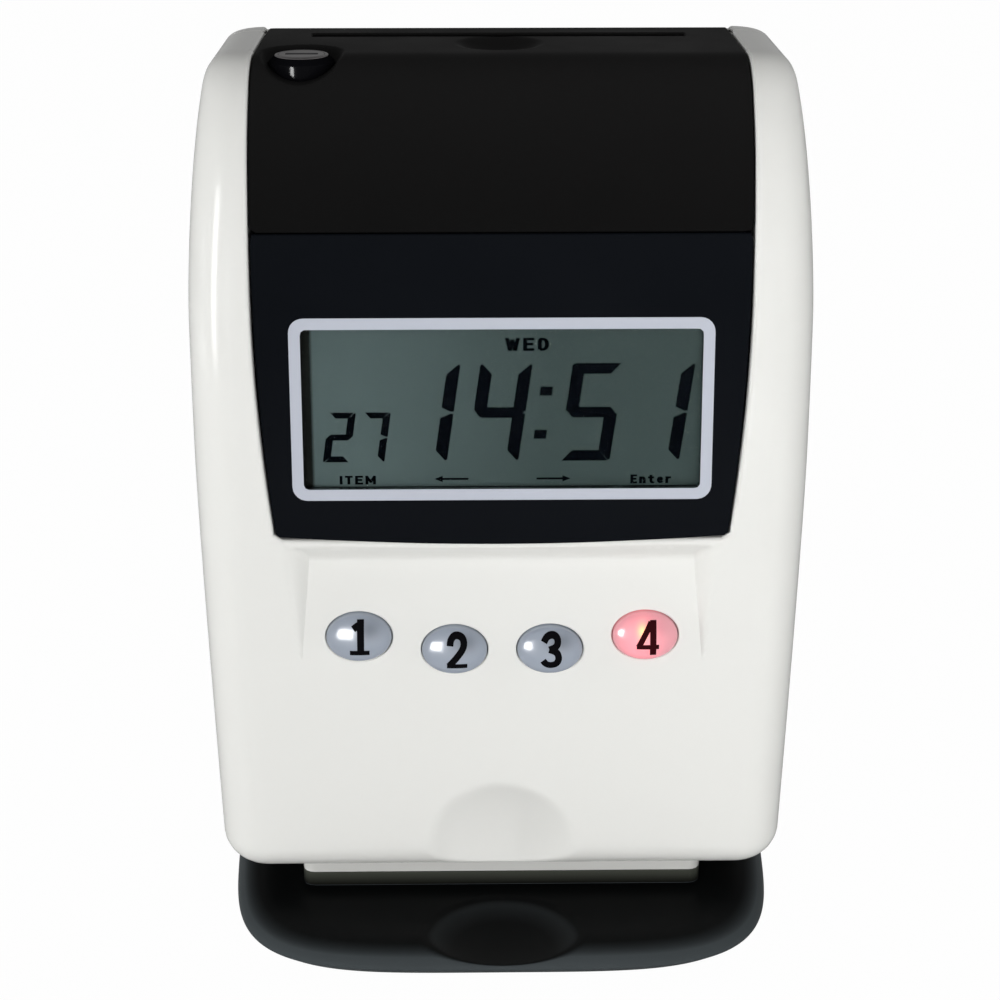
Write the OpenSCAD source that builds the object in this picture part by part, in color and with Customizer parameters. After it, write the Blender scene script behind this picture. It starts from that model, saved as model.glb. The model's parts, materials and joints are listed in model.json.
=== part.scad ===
// Desk time clock: a card recorder in a white housing on a dark tray, with a keyed top cover,
// a display panel, four lit keys and, inside, a card path with a feed and a print carriage.
// Millimetres. X runs to the right, Y to the back, Z up. The origin is on the table, under the middle.

/* [Housing] */
// Width of the housing at its widest
housing_w = 150.8; // [146:0.2:164]
// Height of the housing from its bottom rim to its top
housing_h = 209; // [204:0.5:225]
// Depth of the housing from its lower front to its back
housing_d = 103.5; // [102:0.5:120]
// Thickness of the housing walls
wall = 3; // [2.4:0.1:3.4]
// Radius of the upright edges of the housing
edge_r = 12; // [8:0.5:14]
// Radius of the bottom edge of the housing
rim_r = 9; // [7:0.5:10]
// How far each side draws in below the waist
side_draft = 1.8; // [0:0.1:3]
// How far each shoulder sweeps in at the top
shoulder_in = 14; // [12:0.2:16]
// Height over which a shoulder sweeps in
shoulder_h = 62; // [50:1:80]
// How far the front sweeps back at the top
crown_in = 28; // [24:0.5:31]
// Height over which the front sweeps back
crown_h = 127; // [110:1:140]
// How far the back sweeps forward at the top
nape_in = 30; // [22:0.5:32]
// Height over which the back sweeps forward
nape_h = 40; // [30:1:46]
// Distance of the joint between the two housing halves from the back
part_back = 35; // [33:0.5:36]
// Running gap round the parts that move or drop in
gap = 0.3; // [0.2:0.05:0.45]

/* [Tray] */
// Width of the tray under the housing
tray_w = 144; // [136:0.5:150]
// How far the tray stands out in front of the housing
tray_reach = 26.5; // [20:0.5:34]
// Height of the tray with its seat, without its feet
tray_h = 12; // [10:0.5:16]
// How far the open deck of the tray lies below the seat
deck_drop = 4; // [2:0.5:5]
// Wall of the tray
tray_wall = 2.6; // [2:0.1:3.2]
// Height of the rounded top edge of the tray
tray_r = 4.5; // [4:0.5:7]
// How far that rounded edge reaches in over the deck
tray_edge = 10.5; // [7:0.5:12]
// Height of the rubber feet
foot_h = 3; // [2:0.5:5]
// Diameter of the rubber feet
foot_d = 14; // [10:0.5:16]
// Width of the white plinth between the tray and the housing
plinth_w = 104; // [98:0.5:112]
// Height of that plinth
plinth_h = 3; // [2:0.5:5]
// Radius of the finger scoops at the front
scoop_r = 18.5; // [14:0.5:21]
// Depth of the finger scoop in the housing
scoop_d = 5; // [3:0.5:6]
// Depth of the finger scoop in the tray
tray_scoop_d = 3.6; // [2.5:0.1:4]

/* [Top cover] */
// Thickness of the cover
cover_t = 2.4; // [2:0.1:2.8]
// How far the cover lies below the shoulders
cover_sink = 0.6; // [0.3:0.1:1]
// Height of the cover's front, from the seam to the top
cover_drop = 38; // [34:0.5:44]
// White land on each shoulder beside the cover
land_w = 2.2; // [2.2:0.1:3]
// Radius of the hinge knuckle
knuckle_r = 4.5; // [4:0.1:4.8]
// Radius of the hinge pins
pin_r = 2; // [1.5:0.1:2.4]
// Distance of the hinge axis from the back
hinge_back = 27; // [26:0.5:28]
// Diameter of the lock barrel
lock_d = 13.2; // [11:0.2:14]
// Distance of the lock from the left edge of the cover
lock_in = 10.7; // [10.5:0.1:15]
// Distance of the lock from the back
lock_back = 67; // [64:0.5:69]
// Depth of the groove that the lock stands in
groove_d = 4.6; // [3.5:0.1:5]
// Half width of that groove at the top
groove_r = 8.6; // [7.8:0.1:9.2]

/* [Card path] */
// Clear width of the card path
card_w = 95; // [88:0.5:97]
// Clear thickness of the card path
card_gap = 5.2; // [4.8:0.1:5.6]
// Distance of the card from the back
card_back = 38; // [37:0.25:38.5]
// Thickness of the guide plates
guide_t = 2; // [1.6:0.1:2.2]
// Width of the side rails between the guide plates
rail_w = 4.5; // [3.5:0.1:5]
// Thickness of the steel side frames
frame_t = 1.5; // [1.2:0.1:2]
// Depth of the print line below the top
print_drop = 41; // [40:0.5:44]
// Depth of the feed line below the top
feed_drop = 77; // [74:0.5:84]

/* [Display] */
// Height of the panel's lower corners above the rim
panel_lift = 96.2; // [92:0.2:100]
// Thickness of the panel
panel_t = 3; // [2.4:0.1:3.4]
// How far each side of the panel draws in towards its foot
panel_in = 3.7; // [0:0.1:5]
// Sag of the panel's lower edge
panel_sag = 2; // [0:0.1:2.6]
// Distance from each side of the display window to the side of the cover
window_in = 11; // [10.4:0.1:14.9]
// Height of the display window
window_h = 39.6; // [32:0.2:40]
// Height of the window's middle above the panel's foot
window_lift = 32; // [30:0.25:35]

/* [Keys] */
// Width of a key
key_w = 16.4; // [14:0.2:18]
// Height of a key
key_h = 12.8; // [11:0.2:14]
// Distance between neighbouring keys
key_pitch = 24; // [22:0.1:25]
// Height of the outer keys above the rim
key_lift = 69; // [66:0.5:71]
// How far the two middle keys lie below the outer ones
key_bow = 3.4; // [0:0.1:5]
// Travel of a key
key_travel = 1.2; // [0.6:0.1:1.5]
// Height of the dome of a key
key_dome = 2.4; // [1.5:0.1:3]
// Depth of the sunk key field at its upper edge
well_d = 3; // [1.5:0.1:3.4]

/* [Feed and print] */
// Radius of the rubber feed rollers
feed_r = 7.5; // [7.4:0.05:8]
// Radius of the pinch rollers
pinch_r = 6.2; // [6.1:0.05:6.6]
// Width of a roller
roller_w = 14; // [10:0.5:15]
// Distance between rollers
roller_pitch = 30; // [24:0.5:32]
// Teeth of the feed gear
feed_teeth = 36; // [36:1:40]
// Teeth of the motor pinion
pinion_teeth = 18; // [17:1:20]
// Module of the gears
gear_m = 0.8; // [0.75:0.01:0.85]
// Radius of the carriage guide rod
rod_r = 4; // [3:0.1:4.4]
// Width of the print carriage
carriage_w = 28; // [24:0.5:30]
// Travel of the print carriage to each side
carriage_travel = 26; // [20:0.5:27]
// Radius of the belt pulleys
pulley_r = 5.6; // [5:0.1:6]
// Thickness of the belt
belt_t = 1; // [0.8:0.1:1.2]

/* [Fasteners and mounts] */
// Radius of the screw shanks
screw_r = 1.5; // [1.2:0.1:1.7]
// Radius of the screw heads
head_r = 3; // [2.6:0.1:3.2]
// Distance between the two wall keyholes
keyhole_pitch = 80; // [60:1:90]
// Radius of the keyhole's entry
keyhole_r = 4.5; // [4:0.1:5]
// Half width of the keyhole's slot
keyslot_r = 2.2; // [1.8:0.1:2.6]
// Height of the keyholes above the rim
keyhole_lift = 147; // [138:1:150]

/* [Hidden] */
$fn = 64;

// Colours
white_shell = [0.91, 0.91, 0.88];
black_gloss = [0.05, 0.05, 0.06];
charcoal = [0.11, 0.12, 0.13];
steel = [0.68, 0.69, 0.70];
rubber = [0.13, 0.13, 0.13];
board_green = [0.10, 0.33, 0.20];
brass = [0.72, 0.58, 0.30];
key_grey = [0.66, 0.69, 0.74];
key_red = [0.95, 0.55, 0.56];
glass_grey = [0.42, 0.47, 0.45];
machine_grey = [0.32, 0.33, 0.35];

// Main planes
z_tray = foot_h;
z_deck = z_tray + tray_h;
z_apron = z_deck - deck_drop;
z_rim = z_deck + plinth_h;
z_top = z_rim + housing_h;
y_back = (housing_d + tray_reach) / 2;
y_front = y_back - housing_d;
y_nose = -y_back;
y_part = y_back - part_back;
z_floor = z_rim + 2 * wall;

// Shape of the housing's corners, as powers of a superellipse
shoulder_n = 2.4;
crown_n = 2.2;
nape_n = 2;
// Height of the waist, where the sides start to draw in downwards
z_waist = z_rim + 74;
// Points on each rounded corner of a housing section
corner_steps = 5;

// Opening for the panel and the cover between the shoulders
open_half = housing_w / 2 - shoulder_in - land_w;
cover_half = open_half - gap;
z_seam = z_top - cover_drop;
z_cover = z_top - cover_sink;
// Flange along the inner edge of each shoulder
flange_t = land_w - 0.2;
flange_d = 15;

// Hinge and lock
y_hinge = y_back - hinge_back;
z_hinge = z_cover - knuckle_r;
knuckle_gap = 0.5;
pin_reach = 12;
ear_t = 3;
x_lock = lock_in - cover_half;
y_lock = y_back - lock_back;
lock_r = lock_d / 2;
plug_r = lock_r - 0.95;
plug_clear = 0.05;
z_lock_foot = z_top - 13.6;
cam_t = 2.2;
cam_w = 6;
cam_reach = cover_half + x_lock - 0.4;
nut_t = 2.4;
z_cam = z_lock_foot - 0.2 - cam_t;
keeper_t = 1.5;

// Card path
y_card = y_back - card_back;
y_guide = y_card - card_gap / 2;
y_rear_guide = y_card + card_gap / 2;
frame_x = card_w / 2 + rail_w;
z_print = z_top - print_drop;
z_feed = z_top - feed_drop;
z_guide_top = z_cover - cover_t - 2;
z_frame_top = z_top - 21;
y_frame_front = y_guide - guide_t - 36;
y_frame_back = y_rear_guide + guide_t + 18;

// Display panel, a flat plate that leans back between the seam and its foot
panel_sink = 0.6;
z_panel = z_rim + panel_lift;
y_panel = y_front + panel_sink;
panel_rise = z_seam - gap - z_panel;
panel_lean = front_at(z_seam, panel_sink) - front_at(z_panel, panel_sink);
panel_tilt = atan2(panel_lean, panel_rise);
panel_len = panel_rise / cos(panel_tilt);
panel_bend = 64;
seat_w = 3.2;
seat_t = 2;
lens_t = 1.6;
window_ledge = 1;
window_w = 2 * (cover_half - window_in);
glass_w = window_w + 3.4;
glass_h = window_h + 4.4;
glass_t = 2.6;
holder_rim = 2;
holder_t = 6.5;
board_t = 1.6;

// Key field
well_lo = key_lift - 4;
well_hi = panel_lift - panel_sag - 4.7;
well_step = 2;
well_half = 51;
well_flare = 6;
key_sleeve = 2.2;
y_flange = y_front + wall + 2.4;
key_flange_t = 1.2;
key_lip = 1.5;
key_skin = 1.5;
key_proud = 0.6;
y_switch = y_flange + 6.6;
switch_t = 4;
y_key_board = y_switch + switch_t;
stem_r = 1.6;
stem_drop = 1.2;
lamp_r = 1.5;
lamp_at = [-1, 3.3];
key_at = [for (i = [0 : 3]) [(i - 1.5) * key_pitch, z_rim + key_lift - (i == 1 || i == 2 ? key_bow : 0)]];

// Feed
nip = 0.5;
y_feed = y_card + nip / 2 + feed_r;
y_pinch = y_card - nip / 2 - pinch_r;
shaft_r = 3;
pinch_shaft_r = 1.5;
bush_wall = 2;
bush_lip = 1.2;
run_clear = 0.05;
gear_w = 4;
gear_x = frame_x + frame_t + bush_lip + 0.4;
feed_pitch_r = feed_teeth * gear_m / 2;
pinion_pitch_r = pinion_teeth * gear_m / 2;
motor_r = 10;
motor_len = 30;
y_motor = y_rear_guide + guide_t + motor_r + 0.2;
z_motor = z_feed - sqrt(pow(feed_pitch_r + pinion_pitch_r, 2) - pow(y_motor - y_feed, 2));
mesh_angle = atan2(z_motor - z_feed, y_motor - y_feed);
roller_at = [-roller_pitch, 0, roller_pitch];

// Print carriage, from the guide plate forwards
y_rod = y_guide - guide_t - 19.4;
z_rod = z_print + 2;
y_car_front = y_rod - 9;
y_car_back = y_rod + 9;
y_head = y_guide - guide_t - 0.4;
y_nose_tip = y_card - 1.4;
ribbon_t = 0.3;
y_ribbon = y_nose_tip + 0.3;
z_car_foot = z_print - 9.5;
z_car_top = z_print + 10;
print_window = 9.5;
pad_half = 6;
y_pad = y_card + 0.6;
z_belt = z_print - 15;
belt_h = 5;
y_belt = y_rod - 7;
pulley_x = frame_x - 11;
pulley_h = 8;
z_deck_top = z_belt - 8;
deck_t = 2;
car_motor_r = 9.5;
car_motor_h = 22;
jaw_t = 2.1;
rail_t = 2;
y_rail = y_car_front - 2.7 - gap - rail_t;

// Boards at the back
y_main = y_back - wall - 4.4 - board_t;
main_half = 58;
z_main = z_rim + 22;
main_h = 110;
inlet_at = [36, z_rim + 30];
inlet_w = 12;

// Screws
boss_r = 4.5;
boss_x = housing_w / 2 - 9.4;
boss_z = [z_rim + 34, z_rim + 152];
boss_len = 14;
shoulder_seat = 6;
base_screw_at = [for (x = [-40, 40], y = [y_front + 18.5, y_back - 25]) [x, y]];
foot_at = [for (x = [-1, 1], y = [y_front + 6, y_back - 20]) [x * (tray_w / 2 - 16), y]];

// Rounding helpers
function unit(t) = max(0, min(1, t));
function sweep(t, n) = 1 - pow(max(0, 1 - pow(unit(t), n)), 1 / n);

// Half width, front and back of the housing at height z, drawn in by off on every side
function half_at(z, off) =
    housing_w / 2 - off - side_draft * unit((z_waist - z) / (z_waist - z_rim))
    - shoulder_in * sweep((z - z_top + shoulder_h) / (shoulder_h - off), shoulder_n);
function front_at(z, off) =
    y_front + off + crown_in * sweep((z - z_top + crown_h) / (crown_h - off), crown_n);
function back_at(z, off) =
    y_back - off - nape_in * sweep((z - z_top + nape_h) / (nape_h - off), nape_n);

// Extra inset of the rounded bottom edge
function rim_inset(z, off) =
    let (r = rim_r - off, d = z_rim + rim_r - z)
    d <= 0 ? 0 : r - sqrt(max(0, r * r - d * d));

// One level ring of the housing, anticlockwise from above
function housing_ring(z, off) =
    let (cut = rim_inset(z, off),
         hx = half_at(z, off) - cut,
         yf = front_at(z, off) + cut,
         yb = back_at(z, off) - cut,
         r = max(0.8, min(edge_r, half_at(z, 0) - open_half - 0.4) - off - cut),
         middles = [[hx - r, yf + r], [hx - r, yb - r], [r - hx, yb - r], [r - hx, yf + r]])
    [for (c = [0 : 3], s = [0 : corner_steps])
        let (a = -90 + 90 * (c + s / corner_steps))
        [middles[c][0] + r * cos(a), middles[c][1] + r * sin(a), z]];

// Heights of the rings in rising order: close together where the surface bends
level_gap = 1;
function housing_levels(off) =
    let (z_bend = z_top - crown_h + 2,
         bend = [for (b = [0 : 9 : 90]) z_bend + (z_top - off - z_bend) * sin(b)])
    concat([for (a = [0 : 22.5 : 90]) z_rim + off + (rim_r - off) * (1 - cos(a))],
           [for (z = [z_waist - 20]) if (z < z_bend - level_gap) z],
           [for (z = bend) if (z < z_waist - level_gap) z],
           [z_waist],
           [for (z = bend) if (z > z_waist + level_gap) z]);

// Superellipse outline of the tray, drawn in by off
tray_front_n = 3.3;
tray_back_n = 6;
y_tray_mid = (y_nose + y_back) / 2;
y_tray_back = y_back - 2;
z_belly = z_apron - tray_r;
// Inset of the tray's foot, and of the bend on the way up to the widest line
tray_foot_in = 4;
tray_bend_in = 1.2;
z_tray_bend = z_tray + 0.7 * (z_belly - z_tray);
function tray_ring(z, off) =
    [for (a = [0 : 7.5 : 352.5])
        let (c = cos(a), s = sin(a),
             n = s < 0 ? tray_front_n : tray_back_n,
             b = s < 0 ? y_tray_mid - y_nose : y_tray_back - y_tray_mid)
        [(tray_w / 2 - off) * sign(c) * pow(abs(c), 2 / n),
         y_tray_mid + (b - off) * sign(s) * pow(abs(s), 2 / n), z]];

// Half width of the panel at height w above its foot
function panel_half(w) = cover_half - panel_in * pow(unit((panel_bend - w) / panel_bend), 2);

// Outline of a key and its ring at depth y
function key_ring(at, y, rx, rz) =
    [for (a = [0 : 12 : 348]) [at[0] + rx * cos(a), y, at[1] + rz * sin(a)]];

// Involute tooth: half its angle at radius r
function involute(a) = tan(a) - a * PI / 180;
function tooth_half(r, teeth, slack) =
    let (rp = teeth * gear_m / 2, rb = rp * cos(20), ar = acos(min(1, rb / max(r, rb))))
    ((PI * gear_m / 2 - slack) / (2 * rp) + involute(20) - involute(ar)) * 180 / PI;
function gear_points(teeth, slack, turn) =
    let (rp = teeth * gear_m / 2, tip = rp + 0.95 * gear_m, root = rp - 1.25 * gear_m,
         flank = [root, rp - 0.45 * gear_m, rp, rp + 0.5 * gear_m, tip])
    [for (i = [0 : teeth - 1], side = [-1, 1], k = [0 : 4])
        let (r = side < 0 ? flank[k] : flank[4 - k],
             a = turn + 360 * i / teeth + side * tooth_half(r, teeth, slack))
        [r * cos(a), r * sin(a)]];

// Solid through a stack of rings, each anticlockwise seen from the last one
module loft(rings) {
    n = len(rings[0]);
    m = len(rings);
    polyhedron(
        points = [for (r = rings) each r],
        faces = concat(
            [[for (i = [0 : n - 1]) i]],
            [for (k = [0 : m - 2], i = [0 : n - 1])
                [k * n + i, (k + 1) * n + i, (k + 1) * n + (i + 1) % n]],
            [for (k = [0 : m - 2], i = [0 : n - 1])
                [k * n + i, (k + 1) * n + (i + 1) % n, k * n + (i + 1) % n]],
            [[for (i = [n - 1 : -1 : 0]) (m - 1) * n + i]]));
}

// Building blocks
module block(lo, hi) {
    translate(lo) cube(hi - lo);
}
module along_x(x0, length) {
    translate([x0, 0, 0]) rotate([90, 0, 90]) linear_extrude(length) children();
}
module along_y(y0, length) {
    translate([0, y0 + length, 0]) rotate([90, 0, 0]) linear_extrude(length) children();
}
module rod_x(x0, length, y, z, r) {
    translate([x0, y, z]) rotate([0, 90, 0]) cylinder(r = r, h = length);
}
module rod_y(x, y0, length, z, r) {
    translate([x, y0, z]) rotate([-90, 0, 0]) cylinder(r = r, h = length);
}
module rod_z(x, y, z0, length, r) {
    translate([x, y, z0]) cylinder(r = r, h = length);
}
module mirrored_x() {
    children();
    mirror([1, 0, 0]) children();
}
// Rectangle with true round corners
module round_rect(lo, hi, r) {
    translate([lo[0] + r, lo[1]]) square([hi[0] - lo[0] - 2 * r, hi[1] - lo[1]]);
    translate([lo[0], lo[1] + r]) square([hi[0] - lo[0], hi[1] - lo[1] - 2 * r]);
    for (x = [lo[0] + r, hi[0] - r], y = [lo[1] + r, hi[1] - r]) translate([x, y]) circle(r);
}
module ellipse(rx, rz) {
    polygon([for (a = [0 : 12 : 348]) [rx * cos(a), rz * sin(a)]]);
}
module on_panel() {
    translate([0, y_panel, z_panel]) rotate([-panel_tilt, 0, 0]) children();
}

// Ball that cuts a round dish of radius r and depth d into a plane
function dish_ball(r, d) = (r * r + d * d) / (2 * d);

// Housing skin, hollow and closed
module housing_skin() {
    difference() {
        loft([for (z = housing_levels(0)) housing_ring(z, 0)]);
        loft([for (z = housing_levels(wall)) housing_ring(z, wall)]);
    }
}

// Hole in the bottom of the housing, and the plate that closes it
floor_lip = 5;
module floor_outline(off) {
    half = half_at(z_rim, 0) - rim_r - off;
    round_rect([-half, y_front + rim_r + off], [half, y_back - rim_r - off], 4);
}

// Outline of the panel, grown by g
module panel_outline(g) {
    foot = panel_half(0) + g;
    steps = 8;
    polygon(concat(
        [for (i = [-steps : steps]) [foot * i / steps, -g - panel_sag * (1 - pow(i / steps, 2))]],
        [for (i = [1 : steps]) let (w = panel_bend * i / steps) [panel_half(w) + g, w]],
        [[panel_half(panel_len) + g, panel_len + g], [-panel_half(panel_len) - g, panel_len + g]],
        [for (i = [steps : -1 : 1]) let (w = panel_bend * i / steps) [-panel_half(w) - g, w]]));
}

// Strip of the housing's side view between two depths, from height z0 up and over to y1
function crown_curve(z0, off, y1) =
    concat([for (b = [0 : 7.5 : 90])
               let (z = z0 + (z_top - off - z0) * sin(b)) [front_at(z, off), z]],
           [[y1, z_top - off]]);
function reversed(list) = [for (i = [len(list) - 1 : -1 : 0]) list[i]];
module crown_strip(z0, outer, inner, y1) {
    polygon(concat(crown_curve(z0, outer, y1), reversed(crown_curve(z0, inner, y1))));
}

// Finger scoop in the lower front of the housing
module housing_scoop(grow) {
    ball = dish_ball(scoop_r, scoop_d);
    translate([0, y_front + scoop_d - ball, z_rim + scoop_r / 2 - 0.75]) sphere(r = ball + grow, $fn = 96);
}

// Sunk field that the keys lie in, deepest at its upper edge
module key_well(shift) {
    lead = 1 / well_d;
    low = [well_half, y_front, z_rim + well_lo];
    deep = [well_half, y_front + well_d, z_rim + well_hi];
    high = [well_half + well_flare, y_front, z_rim + well_hi + well_step];
    right = [low + (low - deep) * lead, deep, high + (high - deep) * lead];
    left = [for (p = right) [-p[0], p[1], p[2]]];
    translate([0, shift, 0])
        polyhedron(points = concat(right, left),
                   faces = [[0, 2, 1], [3, 4, 5], [0, 1, 4, 3], [1, 2, 5, 4], [2, 0, 3, 5]]);
}

module key_columns(grow, y0, length) {
    for (at = key_at)
        translate([at[0], 0, at[1]]) along_y(y0, length) ellipse(key_w / 2 + grow, key_h / 2 + grow);
}

key_board_half = 54;
key_post_r = 3;
key_post_at = [for (x = [-50, 50], dz = [-9, 5]) [x, z_rim + key_lift + dz]];

module front_housing() color(white_shell) difference() {
    union() {
        difference() {
            housing_skin();
            block([-housing_w, y_part, 0], [housing_w, y_back + 20, z_top + 20]);
            translate([0, 0, z_rim - 1]) linear_extrude(wall + 2) floor_outline(floor_lip);
            along_y(y_front - 10, y_part - y_front + 20) {
                translate([0, z_panel]) panel_outline(gap);
                translate([-open_half, z_seam - 2]) square([2 * open_half, z_top - z_seam + 20]);
            }
        }
        key_well(wall);
        intersection() {
            housing_scoop(wall);
            block([-2 * scoop_r, y_front + wall - 0.2, z_rim + wall - 0.4],
                  [2 * scoop_r, y_front + wall + 2 * scoop_d, z_rim + 3 * scoop_r]);
        }
        mirrored_x() along_x(open_half, flange_t) crown_strip(z_panel - 4, 1, flange_d, y_part);
        on_panel() along_y(panel_t, seat_t) difference() {
            panel_outline(flange_t * 0.7);
            panel_outline(-seat_w);
        }
        key_columns(key_sleeve, y_front + wall - 0.5, y_flange - gap - y_front - wall + 0.5);
        for (p = key_post_at) rod_y(p[0], y_front + wall - 0.5, y_key_board - y_front - wall + 0.5, p[1], key_post_r);
        for (z = boss_z) mirrored_x() {
            rod_y(boss_x, y_part - boss_len, boss_len, z, boss_r);
            block([boss_x, y_part - boss_len, z - 1.5], [half_at(z, 1), y_part, z + 1.5]);
        }
    }
    key_well(0);
    housing_scoop(0);
    key_columns(gap, y_front - 10, 40);
    key_columns(key_lip + gap, y_flange - gap, 20);
    for (z = boss_z) mirrored_x() rod_y(boss_x, y_part - boss_len + 2, boss_len, z, screw_r);
}

module keyhole(x, z) {
    rod_y(x, y_back - wall - 1, wall + 2, z, keyhole_r);
    rod_y(x, y_back - wall - 1, wall + 2, z + 8, keyslot_r);
    block([x - keyslot_r, y_back - wall - 1, z], [x + keyslot_r, y_back + 1, z + 8]);
}

main_post_at = [for (x = [-52, 52], dz = [6, main_h - 6]) [x, z_main + dz]];

module rear_cover() color(white_shell) difference() {
    union() {
        difference() {
            housing_skin();
            block([-housing_w, y_front - 20, 0], [housing_w, y_part, z_top + 20]);
            translate([0, 0, z_rim - 1]) linear_extrude(wall + 2) floor_outline(floor_lip);
            block([-open_half, y_part - 1, z_hinge - 12],
                  [open_half, y_hinge + knuckle_r + knuckle_gap, z_top + 5]);
        }
        mirrored_x() along_x(open_half, ear_t)
            polygon([[y_part, z_top - 1], [y_hinge - 2, z_top - 1], [y_hinge + 6, z_hinge + 1],
                     [y_hinge + 6, z_hinge - 8], [y_part, z_hinge - 8]]);
        for (z = boss_z) mirrored_x() {
            rod_y(boss_x, y_part, part_back - 1, z, boss_r);
            block([boss_x, y_part, z - 1.5], [half_at(z, 1), y_back - edge_r, z + 1.5]);
        }
        for (p = main_post_at) rod_y(p[0], y_main + board_t, y_back - 1 - y_main - board_t, p[1], 3);
    }
    mirrored_x() rod_x(open_half - 1, ear_t + 2, y_hinge, z_hinge, pin_r);
    for (z = boss_z) mirrored_x() {
        rod_y(boss_x, y_part - 1, part_back + 2, z, screw_r + 0.2);
        rod_y(boss_x, y_part + shoulder_seat, part_back, z, head_r + 0.4);
    }
    for (s = [-1, 1]) keyhole(s * keyhole_pitch / 2, z_rim + keyhole_lift);
    block([inlet_at[0] - inlet_w / 2 - gap, y_back - wall - 1, inlet_at[1] - inlet_w / 2 - gap],
          [inlet_at[0] + inlet_w / 2 + gap, y_back + 1, inlet_at[1] + inlet_w / 2 + gap]);
}

module housing_screws() color(steel) for (z = boss_z) mirrored_x() {
    rod_y(boss_x, y_part + shoulder_seat, 2, z, head_r);
    rod_y(boss_x, y_part - boss_len + 4, boss_len - 4 + shoulder_seat, z, screw_r);
}

// Outline of the plinth and of the tray's seat under it, drawn in by off
y_plinth = y_front + rim_r - 2.1;
plinth_corner = 3;
module plinth_outline(off) {
    round_rect([-plinth_w / 2 + off, y_plinth + off], [plinth_w / 2 - off, y_back - 15 - off], plinth_corner);
}

module floor_plate() color(white_shell) difference() {
    union() {
        translate([0, 0, z_rim + wall]) linear_extrude(wall) floor_outline(0.6);
        translate([0, 0, z_rim]) linear_extrude(wall) floor_outline(floor_lip + gap);
        translate([0, 0, z_deck]) linear_extrude(plinth_h) plinth_outline(0);
    }
    for (p = base_screw_at) rod_z(p[0], p[1], z_deck - 1, plinth_h + wall + 2, screw_r);
}

module tray_scoop(grow) {
    ball = dish_ball(scoop_r - 0.5, tray_scoop_d);
    translate([0, y_nose + 3, z_apron + ball - tray_scoop_d]) sphere(r = ball + grow, $fn = 96);
}

// Tray: a hollow shell with a low open deck in front and a raised seat for the plinth
tray_pad_r = foot_d / 2 + 1;
module base_tray() color(charcoal) difference() {
    union() {
        difference() {
            union() {
                loft(concat([tray_ring(z_tray, tray_foot_in), tray_ring(z_tray_bend, tray_bend_in),
                             tray_ring(z_belly, 0)],
                            [for (a = [15 : 15 : 90])
                                tray_ring(z_belly + tray_r * sin(a), tray_edge * (1 - cos(a)))]));
                translate([0, 0, z_apron - 1]) linear_extrude(deck_drop + 1) plinth_outline(0);
            }
            loft([tray_ring(z_tray - 1, tray_foot_in + tray_wall), tray_ring(z_belly, tray_wall),
                  tray_ring(z_apron - tray_wall, tray_edge + 1)]);
            translate([0, 0, z_tray]) linear_extrude(tray_h - tray_wall) plinth_outline(tray_wall);
        }
        intersection() {
            tray_scoop(tray_wall);
            block([-scoop_r, y_nose + tray_wall, z_tray + 1], [scoop_r, y_nose + 2 * scoop_r, z_apron - 1]);
        }
        for (p = foot_at) rod_z(p[0], p[1], z_tray, z_apron - tray_wall + 0.5 - z_tray, tray_pad_r);
        for (p = base_screw_at) rod_z(p[0], p[1], z_tray + 3, tray_h - 4, head_r + 2);
    }
    tray_scoop(0);
    for (p = base_screw_at) rod_z(p[0], p[1], z_tray - 1, tray_h + 2, screw_r + 0.2);
}

module rubber_feet() color(rubber) for (p = foot_at) rod_z(p[0], p[1], 0, foot_h, foot_d / 2);

module base_screws() color(steel) for (p = base_screw_at) {
    rod_z(p[0], p[1], z_tray + 1, 2, head_r);
    rod_z(p[0], p[1], z_tray + 3, tray_h - 3 + plinth_h + wall, screw_r);
}

// Solid below the cover's outer surface, for what is thickened under it
module under_cover() {
    along_x(-cover_half, 2 * cover_half)
        polygon(concat(crown_curve(z_seam + 6, cover_sink, y_hinge), [[y_hinge, z_seam + 6]]));
}

groove_ball = dish_ball(groove_r, groove_d);
module lock_groove(grow) {
    z = z_cover - groove_d + groove_ball;
    rod_y(x_lock, y_front, y_lock + 3 - y_front, z, groove_ball + grow);
    translate([x_lock, y_lock + 3, z]) sphere(r = groove_ball + grow);
}

thumb_r = 10.5;
thumb_d = 2.6;
module thumb_scoop(grow) {
    ball = dish_ball(thumb_r, thumb_d);
    translate([0, y_guide - thumb_r - 0.5, z_cover - thumb_d + ball]) sphere(r = ball + grow);
}

z_lock_boss = z_lock_foot + nut_t + 0.2;
module top_cover() color(black_gloss) difference() {
    union() {
        along_x(-cover_half, 2 * cover_half) {
            crown_strip(z_seam, cover_sink, cover_sink + cover_t, y_hinge);
            translate([y_hinge, z_hinge]) circle(knuckle_r);
        }
        intersection() {
            under_cover();
            union() {
                lock_groove(cover_t);
                rod_z(x_lock, y_lock, z_lock_boss, z_cover - z_lock_boss, lock_r + 2.6);
                thumb_scoop(cover_t);
            }
        }
    }
    block([-card_w / 2, y_guide, z_hinge - 12], [card_w / 2, y_rear_guide, z_top + 1]);
    lock_groove(0);
    rod_z(x_lock, y_lock, z_lock_boss - 1, 20, lock_r + plug_clear);
    thumb_scoop(0);
    mirrored_x() rod_x(cover_half - pin_reach, pin_reach + 1, y_hinge, z_hinge, pin_r + run_clear);
}

module hinge_pins() color(steel) mirrored_x()
    rod_x(cover_half - pin_reach + gap, pin_reach + ear_t, y_hinge, z_hinge, pin_r);

module lock_barrel() color(black_gloss) difference() {
    rod_z(x_lock, y_lock, z_lock_foot, z_cover - 0.1 - z_lock_foot, lock_r);
    rod_z(x_lock, y_lock, z_lock_foot - 1, 20, plug_r + plug_clear);
}

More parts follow.
